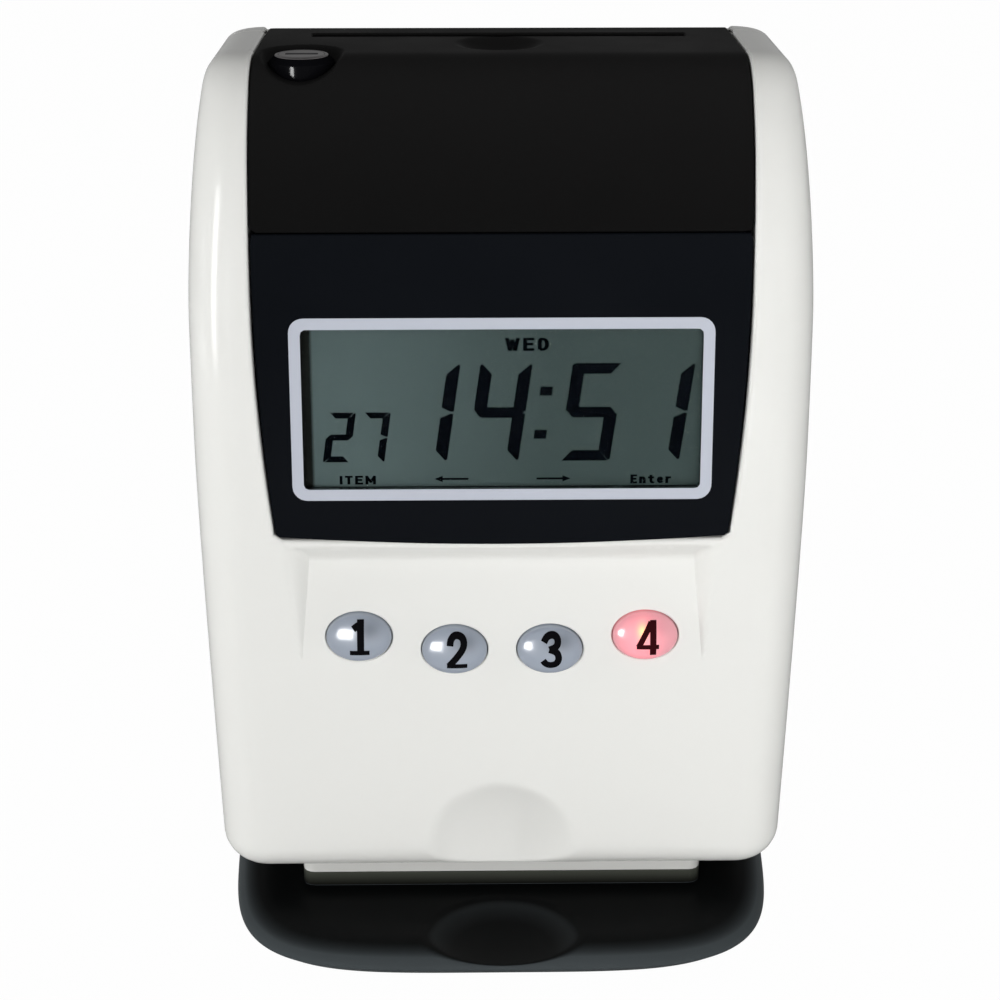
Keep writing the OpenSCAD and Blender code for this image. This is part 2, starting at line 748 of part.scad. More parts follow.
module lock_nut() color(steel) difference() {
    rod_z(x_lock, y_lock, z_lock_boss - nut_t, nut_t, lock_r + 1.2);
    rod_z(x_lock, y_lock, z_lock_boss - nut_t - 1, nut_t + 2, lock_r);
}

module lock_plug() color(steel) difference() {
    rod_z(x_lock, y_lock, z_lock_foot - 0.2, z_cover + 0.1 - z_lock_foot, plug_r);
    block([x_lock - 3.5, y_lock - 0.6, z_cover - 3], [x_lock + 3.5, y_lock + 0.6, z_cover + 1]);
}

// The cam points to the back when the lock is open and to the side when it is shut
module lock_cam() color(steel) translate([0, 0, z_cam]) linear_extrude(cam_t) {
    translate([x_lock, y_lock]) circle(cam_w / 2 + 1);
    translate([x_lock - cam_w / 2, y_lock]) square([cam_w, cam_reach]);
}

module lock_keeper() color(steel) {
    z = z_cam + cam_t + 0.6;
    block([-open_half, y_lock - 6, z], [x_lock - lock_r - 2, y_lock + 6, z + keeper_t]);
    block([-open_half, y_lock - 6, z], [-open_half + keeper_t, y_lock + 6, z + 6]);
}

module window_block(grow, y0, y1) {
    block([-window_w / 2 - grow, y0, window_lift - window_h / 2 - grow],
          [window_w / 2 + grow, y1, window_lift + window_h / 2 + grow]);
}

module display_panel() color(black_gloss) on_panel() difference() {
    along_y(0, panel_t) panel_outline(0);
    window_block(0, -1, lens_t);
    window_block(-window_ledge, 0, panel_t + 1);
}

module display_lens() color([0.8, 0.85, 0.85, 0.4]) on_panel() window_block(-0.1, 0, lens_t);

module glass_block(grow, y0, y1) {
    block([-glass_w / 2 - grow, y0, window_lift - glass_h / 2 - grow],
          [glass_w / 2 + grow, y1, window_lift + glass_h / 2 + grow]);
}

module lcd_glass() color(glass_grey) on_panel() glass_block(0, panel_t, panel_t + glass_t);

module lcd_holder() color(white_shell) on_panel() difference() {
    glass_block(holder_rim, panel_t, panel_t + holder_t);
    glass_block(0.2, panel_t - 1, panel_t + glass_t);
}

module display_board() color(board_green) on_panel()
    glass_block(holder_rim + 1.5, panel_t + holder_t, panel_t + holder_t + board_t);

// A key: domed cap with a hollow back, a flange behind the wall and a stem into its switch
module key_cap(at, tint) color(tint) {
    rx = key_w / 2;
    rz = key_h / 2;
    y_edge = y_front - key_proud;
    difference() {
        union() {
            loft(concat([key_ring(at, y_flange, rx, rz), key_ring(at, y_edge, rx, rz)],
                        [for (a = [18 : 18 : 72])
                            key_ring(at, y_edge - key_dome * sin(a), rx * cos(a), rz * cos(a))]));
            translate([at[0], 0, at[1]]) along_y(y_flange, key_flange_t) ellipse(rx + key_lip, rz + key_lip);
        }
        translate([at[0], 0, at[1]])
            along_y(y_front + 1, y_flange - y_front + key_flange_t) ellipse(rx - key_skin, rz - key_skin);
    }
    rod_y(at[0], y_front + 0.5, y_switch + switch_t - 0.6 - key_travel - y_front - 0.5, at[1] - stem_drop, stem_r);
}
module key_1() { key_cap(key_at[0], key_grey); }
module key_2() { key_cap(key_at[1], key_grey); }
module key_3() { key_cap(key_at[2], key_grey); }
module key_4() { key_cap(key_at[3], key_red); }

module key_switches() color(charcoal) for (at = key_at) difference() {
    block([at[0] - 3, y_switch, at[1] - stem_drop - 2.6], [at[0] + 3, y_key_board, at[1] - stem_drop + 2.6]);
    rod_y(at[0], y_switch - 1, switch_t - 0.3 + 1, at[1] - stem_drop, stem_r + 0.1);
}

module key_lamps() color([0.9, 0.25, 0.2]) for (at = key_at)
    rod_y(at[0] + lamp_at[0], y_key_board - 6.5, 6.5, at[1] + lamp_at[1], lamp_r);

module key_board() color(board_green)
    block([-key_board_half, y_key_board, z_rim + key_lift - 14],
          [key_board_half, y_key_board + board_t, z_rim + key_lift + 10]);

// Steel side frame with the bores for the rods and shafts
module side_frame(side) color(steel) {
    x0 = side > 0 ? frame_x : -frame_x - frame_t;
    difference() {
        block([x0, y_frame_front, z_floor], [x0 + frame_t, y_frame_back, z_frame_top]);
        rod_x(x0 - 1, frame_t + 2, y_feed, z_feed, shaft_r + run_clear + bush_wall);
        rod_x(x0 - 1, frame_t + 2, y_pinch, z_feed, pinch_shaft_r + run_clear);
        rod_x(x0 - 1, frame_t + 2, y_rod, z_rod, rod_r);
        rod_x(x0 - 1, frame_t + 2, y_motor, z_motor, motor_r * 0.4);
        block([x0 - 1, y_frame_front + 8, z_floor + 25], [x0 + frame_t + 1, y_guide - 10, z_deck_top - 30]);
    }
    x1 = side > 0 ? frame_x - 10 : -frame_x;
    block([x1, y_frame_front, z_floor], [x1 + 10, y_guide - guide_t - 2, z_floor + frame_t]);
}
module side_frame_left() { side_frame(-1); }
module side_frame_right() { side_frame(1); }

module roller_windows(y0, y1, half_z) {
    for (x = roller_at)
        block([x - roller_w / 2 - 1, y0, z_feed - half_z], [x + roller_w / 2 + 1, y1, z_feed + half_z]);
}

module card_guide_front() color(machine_grey) difference() {
    union() {
        block([-frame_x, y_guide - guide_t, z_floor], [frame_x, y_guide, z_guide_top]);
        mirrored_x() block([card_w / 2, y_guide, z_floor], [frame_x, y_rear_guide, z_guide_top]);
    }
    block([-card_w / 2, y_guide - guide_t - 1, z_print - print_window],
          [card_w / 2, y_guide + 0.1, z_print + print_window]);
    roller_windows(y_guide - guide_t - 1, y_guide + 0.1, pinch_r + 0.5);
}

module card_guide_rear() color(machine_grey) difference() {
    block([-frame_x, y_rear_guide, z_floor], [frame_x, y_rear_guide + guide_t, z_guide_top]);
    block([-card_w / 2 + 1, y_rear_guide - 1, z_print - pad_half - 0.5],
          [card_w / 2 - 1, y_rear_guide + guide_t + 1, z_print + pad_half + 0.5]);
    roller_windows(y_rear_guide - 1, y_rear_guide + guide_t + 1, feed_r - 0.1);
}

module platen_bar() color(steel)
    block([-frame_x, y_rear_guide + guide_t, z_print - 9], [frame_x, y_rear_guide + guide_t + 6, z_print + 9]);

module platen_pad() color(rubber)
    block([-card_w / 2 + 1.5, y_pad, z_print - pad_half],
          [card_w / 2 - 1.5, y_rear_guide + guide_t, z_print + pad_half]);

module guide_rod() color(steel) rod_x(-frame_x - frame_t, 2 * (frame_x + frame_t), y_rod, z_rod, rod_r);

module carriage_rail() color(steel)
    block([-frame_x, y_rail, z_print + 1], [frame_x, y_rail + rail_t, z_print + 9]);

module carriage() color(charcoal) difference() {
    union() {
        block([-carriage_w / 2, y_car_front, z_car_foot], [carriage_w / 2, y_car_back, z_car_top]);
        block([-6, y_car_front - 2.7, z_print + 2], [6, y_car_front, z_print + 8]);
        block([-5, y_belt + pulley_r - gap - jaw_t, z_belt - belt_h / 2 - 1],
              [5, y_belt + pulley_r - gap, z_car_foot]);
        block([-5, y_belt + pulley_r + belt_t + gap, z_belt - belt_h / 2 - 1],
              [5, y_belt + pulley_r + belt_t + gap + jaw_t, z_car_foot]);
    }
    rod_x(-carriage_w, 2 * carriage_w, y_rod, z_rod, rod_r + run_clear);
}

module print_head() color(machine_grey) {
    block([-10, y_car_back, z_print - 8], [10, y_head, z_print + 8]);
    block([-4, y_head, z_print - 6.5], [4, y_nose_tip, z_print + 6.5]);
    for (k = [0 : 2]) block([-11.5, y_car_back + 1 + 2.4 * k, z_print - 9], [11.5, y_car_back + 2.2 + 2.4 * k, z_print + 9]);
}

arm_in = card_w / 2 - 4.3;
arm_out = card_w / 2 - 1;
z_cart = z_car_top + 1;
cart_h = 11.5;
knob_at = [25, y_rod + 4];
module ribbon_cartridge() color(charcoal) difference() {
    union() {
        block([-frame_x + gap, y_car_front, z_cart], [frame_x - gap, y_car_back + 5, z_cart + cart_h]);
        mirrored_x() {
            block([arm_in, y_car_back - 2, z_print - 5], [arm_out, y_car_back + 5, z_cart + 4]);
            block([arm_in, y_car_back - 2, z_print - 5], [arm_out, y_ribbon + ribbon_t, z_print + print_window - 1.5]);
        }
    }
    rod_z(knob_at[0], knob_at[1], z_cart + 2, cart_h, 2 + run_clear);
}

module ink_ribbon() color([0.1, 0.1, 0.25])
    block([-arm_in, y_ribbon, z_print - 4], [arm_in, y_ribbon + ribbon_t, z_print + 4]);

module ribbon_knob() color(white_shell) {
    rod_z(knob_at[0], knob_at[1], z_cart + 3, cart_h - 3 + gap, 2);
    difference() {
        rod_z(knob_at[0], knob_at[1], z_cart + cart_h + gap, 4.5, 6);
        for (a = [0 : 30 : 330])
            translate([knob_at[0] + 6.4 * cos(a), knob_at[1] + 6.4 * sin(a), z_cart + cart_h]) cylinder(r = 0.9, h = 6, $fn = 24);
    }
}

module mech_deck() color(steel) difference() {
    block([-frame_x, y_belt - 10, z_deck_top - deck_t], [frame_x, y_guide - guide_t - 2, z_deck_top]);
    rod_z(pulley_x, y_belt, z_deck_top - deck_t - 1, deck_t + 2, 4);
    rod_z(-pulley_x, y_belt, z_deck_top - deck_t - 1, deck_t + 2, 1.5);
}

module carriage_motor() color(machine_grey) difference() {
    rod_z(pulley_x, y_belt, z_deck_top - deck_t - car_motor_h, car_motor_h, car_motor_r);
    rod_z(pulley_x, y_belt, z_deck_top - deck_t - 8, 9, 1.5 + run_clear);
}

// Belt pulley with two flanges
module pulley(x) {
    rod_z(x, y_belt, z_belt - pulley_h / 2, pulley_h, pulley_r - 0.1);
    for (z = [z_belt - pulley_h / 2, z_belt + pulley_h / 2 - 1]) rod_z(x, y_belt, z, 1, pulley_r + 1.6);
}
module drive_pulley() color(white_shell) {
    pulley(pulley_x);
    rod_z(pulley_x, y_belt, z_deck_top - deck_t - 7, z_belt - z_deck_top + deck_t + 7, 1.5);
}
module idler_pulley() color(white_shell) difference() {
    pulley(-pulley_x);
    rod_z(-pulley_x, y_belt, z_belt - pulley_h, 2 * pulley_h, 1.5 + run_clear);
}
module idler_pin() color(steel) {
    rod_z(-pulley_x, y_belt, z_deck_top - deck_t, z_belt + pulley_h / 2 + 1 - z_deck_top + deck_t, 1.5);
    difference() {
        rod_z(-pulley_x, y_belt, z_deck_top, z_belt - pulley_h / 2 - gap - z_deck_top, 3);
        rod_z(-pulley_x, y_belt, z_deck_top - 1, 20, 1.5);
    }
}
module belt_loop(r) {
    for (s = [-1, 1]) translate([s * pulley_x, y_belt]) circle(r);
    translate([-pulley_x, y_belt - r]) square([2 * pulley_x, 2 * r]);
}
module carriage_belt() color(rubber) translate([0, 0, z_belt - belt_h / 2]) linear_extrude(belt_h) difference() {
    belt_loop(pulley_r + belt_t);
    belt_loop(pulley_r);
}

module ring_x(x0, length, y, z, inner, outer) {
    difference() {
        rod_x(x0, length, y, z, outer);
        rod_x(x0 - 1, length + 2, y, z, inner);
    }
}

module feed_shaft() color(steel)
    rod_x(-frame_x - frame_t - bush_lip, 2 * (frame_x + frame_t) + bush_lip + 0.4 + bush_lip + gear_w + 1, y_feed, z_feed, shaft_r);
module feed_rollers() color(rubber) for (x = roller_at)
    ring_x(x - roller_w / 2, roller_w, y_feed, z_feed, shaft_r, feed_r);
module feed_bushes() color(brass) mirrored_x() {
    ring_x(frame_x, frame_t + bush_lip, y_feed, z_feed, shaft_r + run_clear, shaft_r + run_clear + bush_wall);
    ring_x(frame_x + frame_t, bush_lip, y_feed, z_feed, shaft_r + run_clear + bush_wall, shaft_r + run_clear + bush_wall + 1.5);
}
module gear_disc(teeth, slack, turn, y, z, bore) {
    translate([gear_x, y, z]) rotate([90, 0, 90]) linear_extrude(gear_w) difference() {
        polygon(gear_points(teeth, slack, turn));
        circle(bore);
    }
}
gear_slack = 0.16;
module feed_gear() color(white_shell)
    gear_disc(feed_teeth, gear_slack, mesh_angle, y_feed, z_feed, shaft_r);
motor_shaft_r = 1.5;
module feed_pinion() color(brass) {
    gear_disc(pinion_teeth, gear_slack, mesh_angle + 180 + 180 / pinion_teeth, y_motor, z_motor, motor_shaft_r);
    rod_x(frame_x - 8, gear_x + gear_w + 1 - frame_x + 8, y_motor, z_motor, motor_shaft_r);
}
module feed_motor() color(machine_grey) difference() {
    rod_x(frame_x - motor_len, motor_len, y_motor, z_motor, motor_r);
    rod_x(frame_x - 9, 10, y_motor, z_motor, motor_shaft_r + run_clear);
}
module pinch_shaft() color(steel) rod_x(-frame_x - frame_t - 1, 2 * (frame_x + frame_t + 1), y_pinch, z_feed, pinch_shaft_r);
module pinch_rollers() color(rubber) for (x = roller_at)
    ring_x(x - roller_w / 2, roller_w, y_pinch, z_feed, pinch_shaft_r, pinch_r);

module main_board() color(board_green)
    block([-main_half, y_main, z_main], [main_half, y_main + board_t, z_main + main_h]);

// Chips, capacitors and sockets on the front of the main board
module board_parts() color(charcoal) {
    block([-14, y_main - 2.4, z_main + 40], [8, y_main, z_main + 62]);
    block([-44, y_main - 2, z_main + 50], [-32, y_main, z_main + 58]);
    block([-50, y_main - 7, z_main + 20], [-26, y_main, z_main + 26]);
    for (k = [0 : 2]) block([-20 + 16 * k, y_main - 6, z_main + 8], [-8 + 16 * k, y_main, z_main + 13]);
    for (k = [0 : 1]) rod_y(30 + 14 * k, y_main - 12, 12, z_main + 44, 5);
    for (k = [0 : 3]) block([22 + 7 * k, y_main - 1.6, z_main + 62], [26 + 7 * k, y_main, z_main + 66]);
}

module buzzer() color(black_gloss) difference() {
    rod_y(-42, y_main - 8, 8, z_main + 78, 6);
    rod_y(-42, y_main - 9, 3, z_main + 78, 1);
}

// Socket for a power plug, with its centre pin
module power_inlet() color(black_gloss) {
    difference() {
        block([inlet_at[0] - inlet_w / 2, y_main + board_t, inlet_at[1] - inlet_w / 2],
              [inlet_at[0] + inlet_w / 2, y_back - 0.4, inlet_at[1] + inlet_w / 2]);
        rod_y(inlet_at[0], y_main + board_t + 1, 12, inlet_at[1], 3.2);
    }
    rod_y(inlet_at[0], y_main + board_t + 0.5, 5.4, inlet_at[1], 1);
}

cell_r = 7;
cell_len = 44;
cell_y = [for (k = [0 : 2]) y_guide - guide_t - 9.4 - k * (2 * cell_r + 0.5)];
cradle_floor = 2;
module battery_cradle() color(charcoal) difference() {
    block([-cell_len / 2 - 3, cell_y[2] - cell_r - 2, z_floor], [cell_len / 2 + 3, cell_y[0] + cell_r + 2, z_floor + cradle_floor + 5]);
    for (y = cell_y) rod_x(-cell_len / 2 - 0.2, cell_len + 0.4, y, z_floor + cradle_floor + cell_r, cell_r + 0.1);
}
module battery_cells() color([0.2, 0.35, 0.6]) for (y = cell_y)
    rod_x(-cell_len / 2, cell_len, y, z_floor + cradle_floor + cell_r, cell_r);

base_tray();
rubber_feet();
base_screws();
floor_plate();
front_housing();
rear_cover();
housing_screws();
top_cover();
hinge_pins();
lock_barrel();
lock_nut();
lock_plug();
lock_cam();
lock_keeper();
display_panel();
display_lens();
lcd_glass();
lcd_holder();
display_board();
key_1();
key_2();
key_3();
key_4();
key_board();
key_switches();
key_lamps();
side_frame_left();
side_frame_right();
card_guide_front();
card_guide_rear();
platen_bar();
platen_pad();
guide_rod();
carriage_rail();
carriage();
print_head();
ribbon_cartridge();
ink_ribbon();
ribbon_knob();
mech_deck();
carriage_motor();
drive_pulley();
idler_pulley();
idler_pin();
carriage_belt();
feed_shaft();
feed_rollers();
feed_bushes();
feed_gear();
feed_pinion();
feed_motor();
pinch_shaft();
pinch_rollers();
main_board();
board_parts();
buzzer();
power_inlet();
battery_cradle();
battery_cells();
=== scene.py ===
"""Looks of a desk time clock, laid out as an add-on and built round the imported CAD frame."""
import json
import math

import bpy
import numpy as np
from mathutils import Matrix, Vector
from mathutils.geometry import delaunay_2d_cdt


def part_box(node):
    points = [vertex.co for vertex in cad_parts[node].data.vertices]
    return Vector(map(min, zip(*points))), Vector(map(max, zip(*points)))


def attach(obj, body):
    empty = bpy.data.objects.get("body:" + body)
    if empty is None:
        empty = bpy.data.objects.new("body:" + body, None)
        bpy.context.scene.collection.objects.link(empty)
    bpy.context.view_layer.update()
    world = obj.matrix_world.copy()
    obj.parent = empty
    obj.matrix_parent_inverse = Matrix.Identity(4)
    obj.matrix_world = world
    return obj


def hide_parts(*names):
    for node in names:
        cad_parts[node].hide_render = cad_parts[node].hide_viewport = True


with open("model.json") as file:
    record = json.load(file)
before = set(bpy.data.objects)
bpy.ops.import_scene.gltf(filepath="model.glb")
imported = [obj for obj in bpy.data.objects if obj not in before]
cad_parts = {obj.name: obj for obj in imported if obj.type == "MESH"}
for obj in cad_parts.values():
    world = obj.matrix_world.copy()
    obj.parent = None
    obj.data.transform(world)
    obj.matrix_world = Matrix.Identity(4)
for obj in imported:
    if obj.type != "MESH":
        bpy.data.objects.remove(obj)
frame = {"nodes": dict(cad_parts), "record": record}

bl_info = {
    "name": "Time clock",
    "version": (1, 0, 0),
    "blender": (4, 5, 0),
    "location": "View3D > Sidebar > Time clock",
    "description": "Builds the looks of a desk time clock piece by piece",
    "category": "Object",
}

MM = 0.001

# Places that more than one piece shares, in millimetres
KEYHOLE_X, KEYHOLE_Z = (-40, 40), 165
SHELL_SCREWS = [(x, z) for x in (-66, 66) for z in (52, 170)]
BASE_SCREWS = [(x, y) for x in (-40, 40) for y in (-20, 40)]
FEET = [(x, y, 0.0) for x in (-56, 56) for y in (-32.5, 45)]
INLET = (-36, 48)
PLINTH = (-53, -31.6, 53, 50, 3.0, 1.2)

# Gaps, edges and seed spacing of the meshes, in millimetres
PARTING_SEAM, OPENING_GAP, UNDER_EDGE = 0.4, 0.3, -5.0
SEED_SHARE, SEED_CLEAR, SEED_BAND = 0.55, 1.2, 1.5
SCOOP_FIELD = 30.0

# A level that a soft minimum never reaches
NO_CUT = 999.0


def length(name, millimetres, description):
    """A length property, given in millimetres and kept in metres."""
    return bpy.props.FloatProperty(name=name, description=description, default=millimetres * MM,
                                   unit="LENGTH", precision=5)


def shade(name, rgb, description):
    """A linear colour property."""
    return bpy.props.FloatVectorProperty(name=name, description=description, default=rgb, size=3,
                                         subtype="COLOR", min=0.0, max=1.0)


def amount(name, value, description):
    """A plain number property."""
    return bpy.props.FloatProperty(name=name, description=description, default=value, precision=4)


class ClockHousing(bpy.types.PropertyGroup):
    """Sizes of the white housing."""
    width: length("Width", 152.0, "Width of the housing at its widest")
    rim: length("Rim height", 18.0, "Height of the bottom rim above the table")
    top: length("Top height", 227.0, "Height of the top above the table")
    front: length("Front", -38.5, "Place of the lower front face")
    back: length("Back", 65.0, "Place of the back face")
    parting: length("Parting", 30.0, "Place of the joint between the two halves")
    wall: length("Wall", 3.0, "Thickness of the walls")
    edge: length("Edge radius", 12.0, "Radius of the upright edges")
    rim_edge: length("Rim radius", 9.0, "Radius of the bottom edge")
    draft: length("Side draft", 2.45, "How far the sides draw in below the waist")
    waist: length("Waist height", 132.0, "Height of the waist above the table")
    shoulder: length("Shoulder", 14.6, "How far each shoulder sweeps in")
    shoulder_rise: length("Shoulder rise", 60.0, "Height over which a shoulder sweeps in")
    brow: length("Brow", 9.1, "Part of the sweep that lies in the rounded top edge")
    brow_rise: length("Brow rise", 8.5, "Height of the rounded top edge")
    crown: length("Crown", 38.0, "How far the front sweeps back")
    crown_rise: length("Crown rise", 127.0, "Height over which the front sweeps back")
    nape: length("Nape", 30.0, "How far the back sweeps forward")
    nape_rise: length("Nape rise", 40.0, "Height over which the back sweeps forward")
    opening: length("Opening", 60.1, "Half width of the opening between the shoulders")
    lip: length("Lip radius", 1.0, "Rounding of the edge of the opening")
    well: length("Well depth", 5.0, "Depth of the sunk key field")
    scoop: length("Scoop radius", 18.5, "Radius of the finger scoop")
    scoop_depth: length("Scoop depth", 5.0, "Depth of the finger scoop")


class ClockCover(bpy.types.PropertyGroup):
    """Sizes of the black top cover and its lock."""
    half: length("Half width", 59.8, "Half width of the cover")
    thickness: length("Thickness", 2.4, "Thickness of the cover")
    sink: length("Sink", 0.6, "How far the cover lies below the shoulders")
    seam: length("Seam height", 189.0, "Height of the seam with the panel")
    hinge_y: length("Hinge place", 38.0, "Place of the hinge axis")
    knuckle: length("Knuckle radius", 4.5, "Radius of the hinge knuckle")
    slot_half: length("Slot half width", 47.5, "Half width of the card slot")
    slot_y: length("Slot place", 27.0, "Middle of the card slot")
    slot_gap: length("Slot gap", 5.2, "Width of the card slot")
    lock_x: length("Lock x", -48.2, "Place of the lock")
    lock_y: length("Lock y", -2.0, "Place of the lock")
    lock_r: length("Lock radius", 6.6, "Radius of the lock barrel")
    lock_collar: length("Lock collar", 8.0, "Radius of the black collar round the lock face")


class ClockPanel(bpy.types.PropertyGroup):
    """Sizes of the display panel."""
    foot: length("Foot height", 114.2, "Height of the panel's lower corners")
    thickness: length("Thickness", 3.0, "Thickness of the panel")
    sink: length("Sink", 0.6, "How far the panel lies below the front")
    draw: length("Draw in", 4.1, "How far the sides draw in towards the foot")
    sag: length("Sag", 2.0, "Sag of the lower edge")
    bend: length("Bend", 64.0, "Height over which the sides draw in")
    window_w: length("Window width", 97.0, "Width of the display window")
    window_h: length("Window height", 39.7, "Height of the display window")
    window_at: length("Window middle", 32.06, "Height of the window's middle above the foot")
    frame_line: length("Frame line", 2.75, "Width of the printed frame")


class ClockKeys(bpy.types.PropertyGroup):
    """Sizes of the keys."""
    width: length("Width", 16.4, "Width of a key")
    height: length("Height", 12.1, "Height of a key")
    pitch: length("Pitch", 24.0, "Distance between neighbouring keys")
    level: length("Level", 87.0, "Height of the outer keys")
    bow: length("Bow", 3.4, "How far the middle keys lie lower")
    dome: length("Dome", 2.6, "Height of the dome")
    gap: length("Gap", 0.26, "Gap round a key")
    lean: amount("Lean", 0.06, "How far the domes face upwards")


class ClockTray(bpy.types.PropertyGroup):
    """Sizes of the tray."""
    width: length("Width", 146.5, "Width of the tray")
    bottom: length("Underside", 3.0, "Height of the underside above the table")
    deck: length("Deck", 11.0, "Height of the deck above the table")
    seat: length("Seat", 15.0, "Height of the raised seat under the housing")
    edge: length("Edge width", 10.5, "Width of the rounded top edge")
    belly: length("Belly", 6.0, "Height of the widest line above the table")
    wall: length("Wall", 2.6, "Wall of the tray")
    scoop: length("Scoop radius", 20.5, "Radius of the finger scoop")
    scoop_depth: length("Scoop depth", 4.0, "Depth of the finger scoop")


class ClockFinish(bpy.types.PropertyGroup):
    """Colours of the clock."""
    white: shade("Housing", (0.80, 0.80, 0.772), "Warm white of the housing")
    black: shade("Cover", (0.0069, 0.0068, 0.0068), "Black of the cover")
    panel: shade("Panel", (0.0045, 0.0055, 0.0075), "Blue black of the panel")
    ink: shade("Print", (0.53, 0.56, 0.635), "Pale ink of the printed frame")
    tray: shade("Tray", (0.055, 0.064, 0.068), "Charcoal of the tray")
    key: shade("Key", (0.355, 0.40, 0.475), "Blue grey of the keys")
    lit: shade("Lit key", (0.93, 0.42, 0.47), "Red of the lit key")
    lcd: shade("Display", (0.065, 0.088, 0.0885), "Grey green of the display")


class ClockStage(bpy.types.PropertyGroup):
    """Camera and light."""
    camera_x: length("Camera x", -7.0, "Place of the camera beside the middle")
    camera_y: length("Camera y", -504.6, "Place of the camera in front of the clock")
    camera_z: length("Camera z", 307.8, "Height of the camera")
    pitch: bpy.props.FloatProperty(name="Pitch", description="Downward pitch of the camera",
                                   default=math.radians(21.5), subtype="ANGLE")
    yaw: bpy.props.FloatProperty(name="Yaw", description="Turn of the camera to the right",
                                 default=0.0138, subtype="ANGLE")
    lens: amount("Lens", 73.8, "Focal length in millimetres on a 36 mm sensor")
    fill: amount("Fill", 0.66, "Strength of the surrounding light")
    key_light: amount("Key light", 1.0, "Strength of the large lamp at the front left")


GROUPS = {"clock_housing": ClockHousing, "clock_cover": ClockCover, "clock_panel": ClockPanel,
          "clock_keys": ClockKeys, "clock_tray": ClockTray, "clock_finish": ClockFinish,
          "clock_stage": ClockStage}


class Sizes:
    """The lengths of one settings group in millimetres."""

    def __init__(self, group):
        for key in group.__annotations__:
            value = getattr(group, key)
            setattr(self, key, value / MM if isinstance(value, float) else value)


def sizes(name):
    """The lengths of one of the scene's settings groups."""
    return Sizes(getattr(bpy.context.scene, name))


def finish():
    """The colours of the clock."""
    return bpy.context.scene.clock_finish


# Small vector helpers

def unit_rows(v):
    """Rows scaled to a length of one."""
    return v / np.maximum(np.linalg.norm(v, axis=-1, keepdims=True), 1e-12)


def smooth_max(a, b, k):
    """Larger of two surfaces with a soft fillet of about k between them."""
    h = np.clip(0.5 + 0.5 * (a - b) / k, 0, 1)
    return b + (a - b) * h + k * h * (1 - h)


def smooth_min(a, b, k):
    """Smaller of two surfaces, with the same fillet."""
    return -smooth_max(-a, -b, k)


def dish_radius(reach, depth):
    """Radius of the ball that cuts a dish of some reach and depth."""
    return (reach ** 2 + depth ** 2) / (2 * depth)


def resample(points, step=None, count=None, closed=True):
    """Even points along a polyline."""
    p = np.asarray(points, float)
    if closed:
        p = np.vstack([p, p[:1]])
    d = np.concatenate([[0], np.cumsum(np.linalg.norm(np.diff(p, axis=0), axis=1))])
    n = count or max(3, int(round(d[-1] / step)))
    at = np.linspace(0, d[-1], n + 1)[:-1] if closed else np.linspace(0, d[-1], n + 1)
    return np.stack([np.interp(at, d, p[:, k]) for k in range(p.shape[1])], axis=1)


def round_corners(points, radii, steps=6):
    """Polygon with an arc of its own radius at each corner."""
    p = np.asarray(points, float)
    out = []
    for i in range(len(p)):
        a, b, c = p[i - 1], p[i], p[(i + 1) % len(p)]
        r = radii[i] if hasattr(radii, "__len__") else radii
        u, v = unit_rows(a - b), unit_rows(c - b)
        half = math.acos(max(-1, min(1, float(u @ v)))) / 2
        if r <= 0 or half > math.pi / 2 - 0.02:
            out.append(b)
            continue
        reach = min(r / math.tan(half), 0.49 * min(np.linalg.norm(a - b), np.linalg.norm(c - b)))
        r = reach * math.tan(half)
        mid = b + unit_rows(u + v) * (r / math.sin(half))
        s, e = b + u * reach - mid, b + v * reach - mid
        turn = math.atan2(s[0] * e[1] - s[1] * e[0], float(s @ e))
        for t in (turn * k / steps for k in range(steps + 1)):
            along, across = math.cos(t), math.sin(t)
            out.append(mid + [s[0] * along - s[1] * across, s[0] * across + s[1] * along])
    return np.array(out)


def inside(points, loop):
    """Which points lie inside a closed loop, by crossings."""
    x, y = points[:, 0], points[:, 1]
    hit = np.zeros(len(points), bool)
    for (x0, y0), (x1, y1) in zip(loop, np.roll(loop, -1, axis=0)):
        if y0 == y1:
            continue
        cross = (y0 > y) != (y1 > y)
        hit ^= cross & (x < (x1 - x0) * (y - y0) / (y1 - y0) + x0)
    return hit


def turned(loop, anticlockwise):
    """The loop in the wanted direction."""
    p = np.asarray(loop, float)
    area = np.sum(p[:, 0] * np.roll(p[:, 1], -1) - np.roll(p[:, 0], -1) * p[:, 1])
    return p if (area > 0) == anticlockwise else p[::-1]


# Mesh building

class Build:
    """Vertices with their own normals, and faces."""

    def __init__(self):
        self.points, self.normals, self.faces, self.count = [], [], [], 0

    def add(self, points, normals):
        points = np.asarray(points, float).reshape(-1, 3)
        self.points.append(points)
        self.normals.append(np.asarray(normals, float).reshape(-1, 3))
        first = self.count
        self.count += len(points)
        return np.arange(first, self.count)

    def face(self, ids):
        self.faces.append(tuple(int(i) for i in ids))

    def strip(self, a, b, closed=True):
        """Quads between two rows; the row a comes first, seen from outside from right to left."""
        n = len(a)
        for i in range(n if closed else n - 1):
            j = (i + 1) % n
            self.face((a[i], a[j], b[j], b[i]))

    def fan(self, row, centre, normal):
        """Triangles from a closed row to one point."""
        c = self.add([centre], [normal])[0]
        for i in range(len(row)):
            self.face((row[i], row[(i + 1) % len(row)], c))


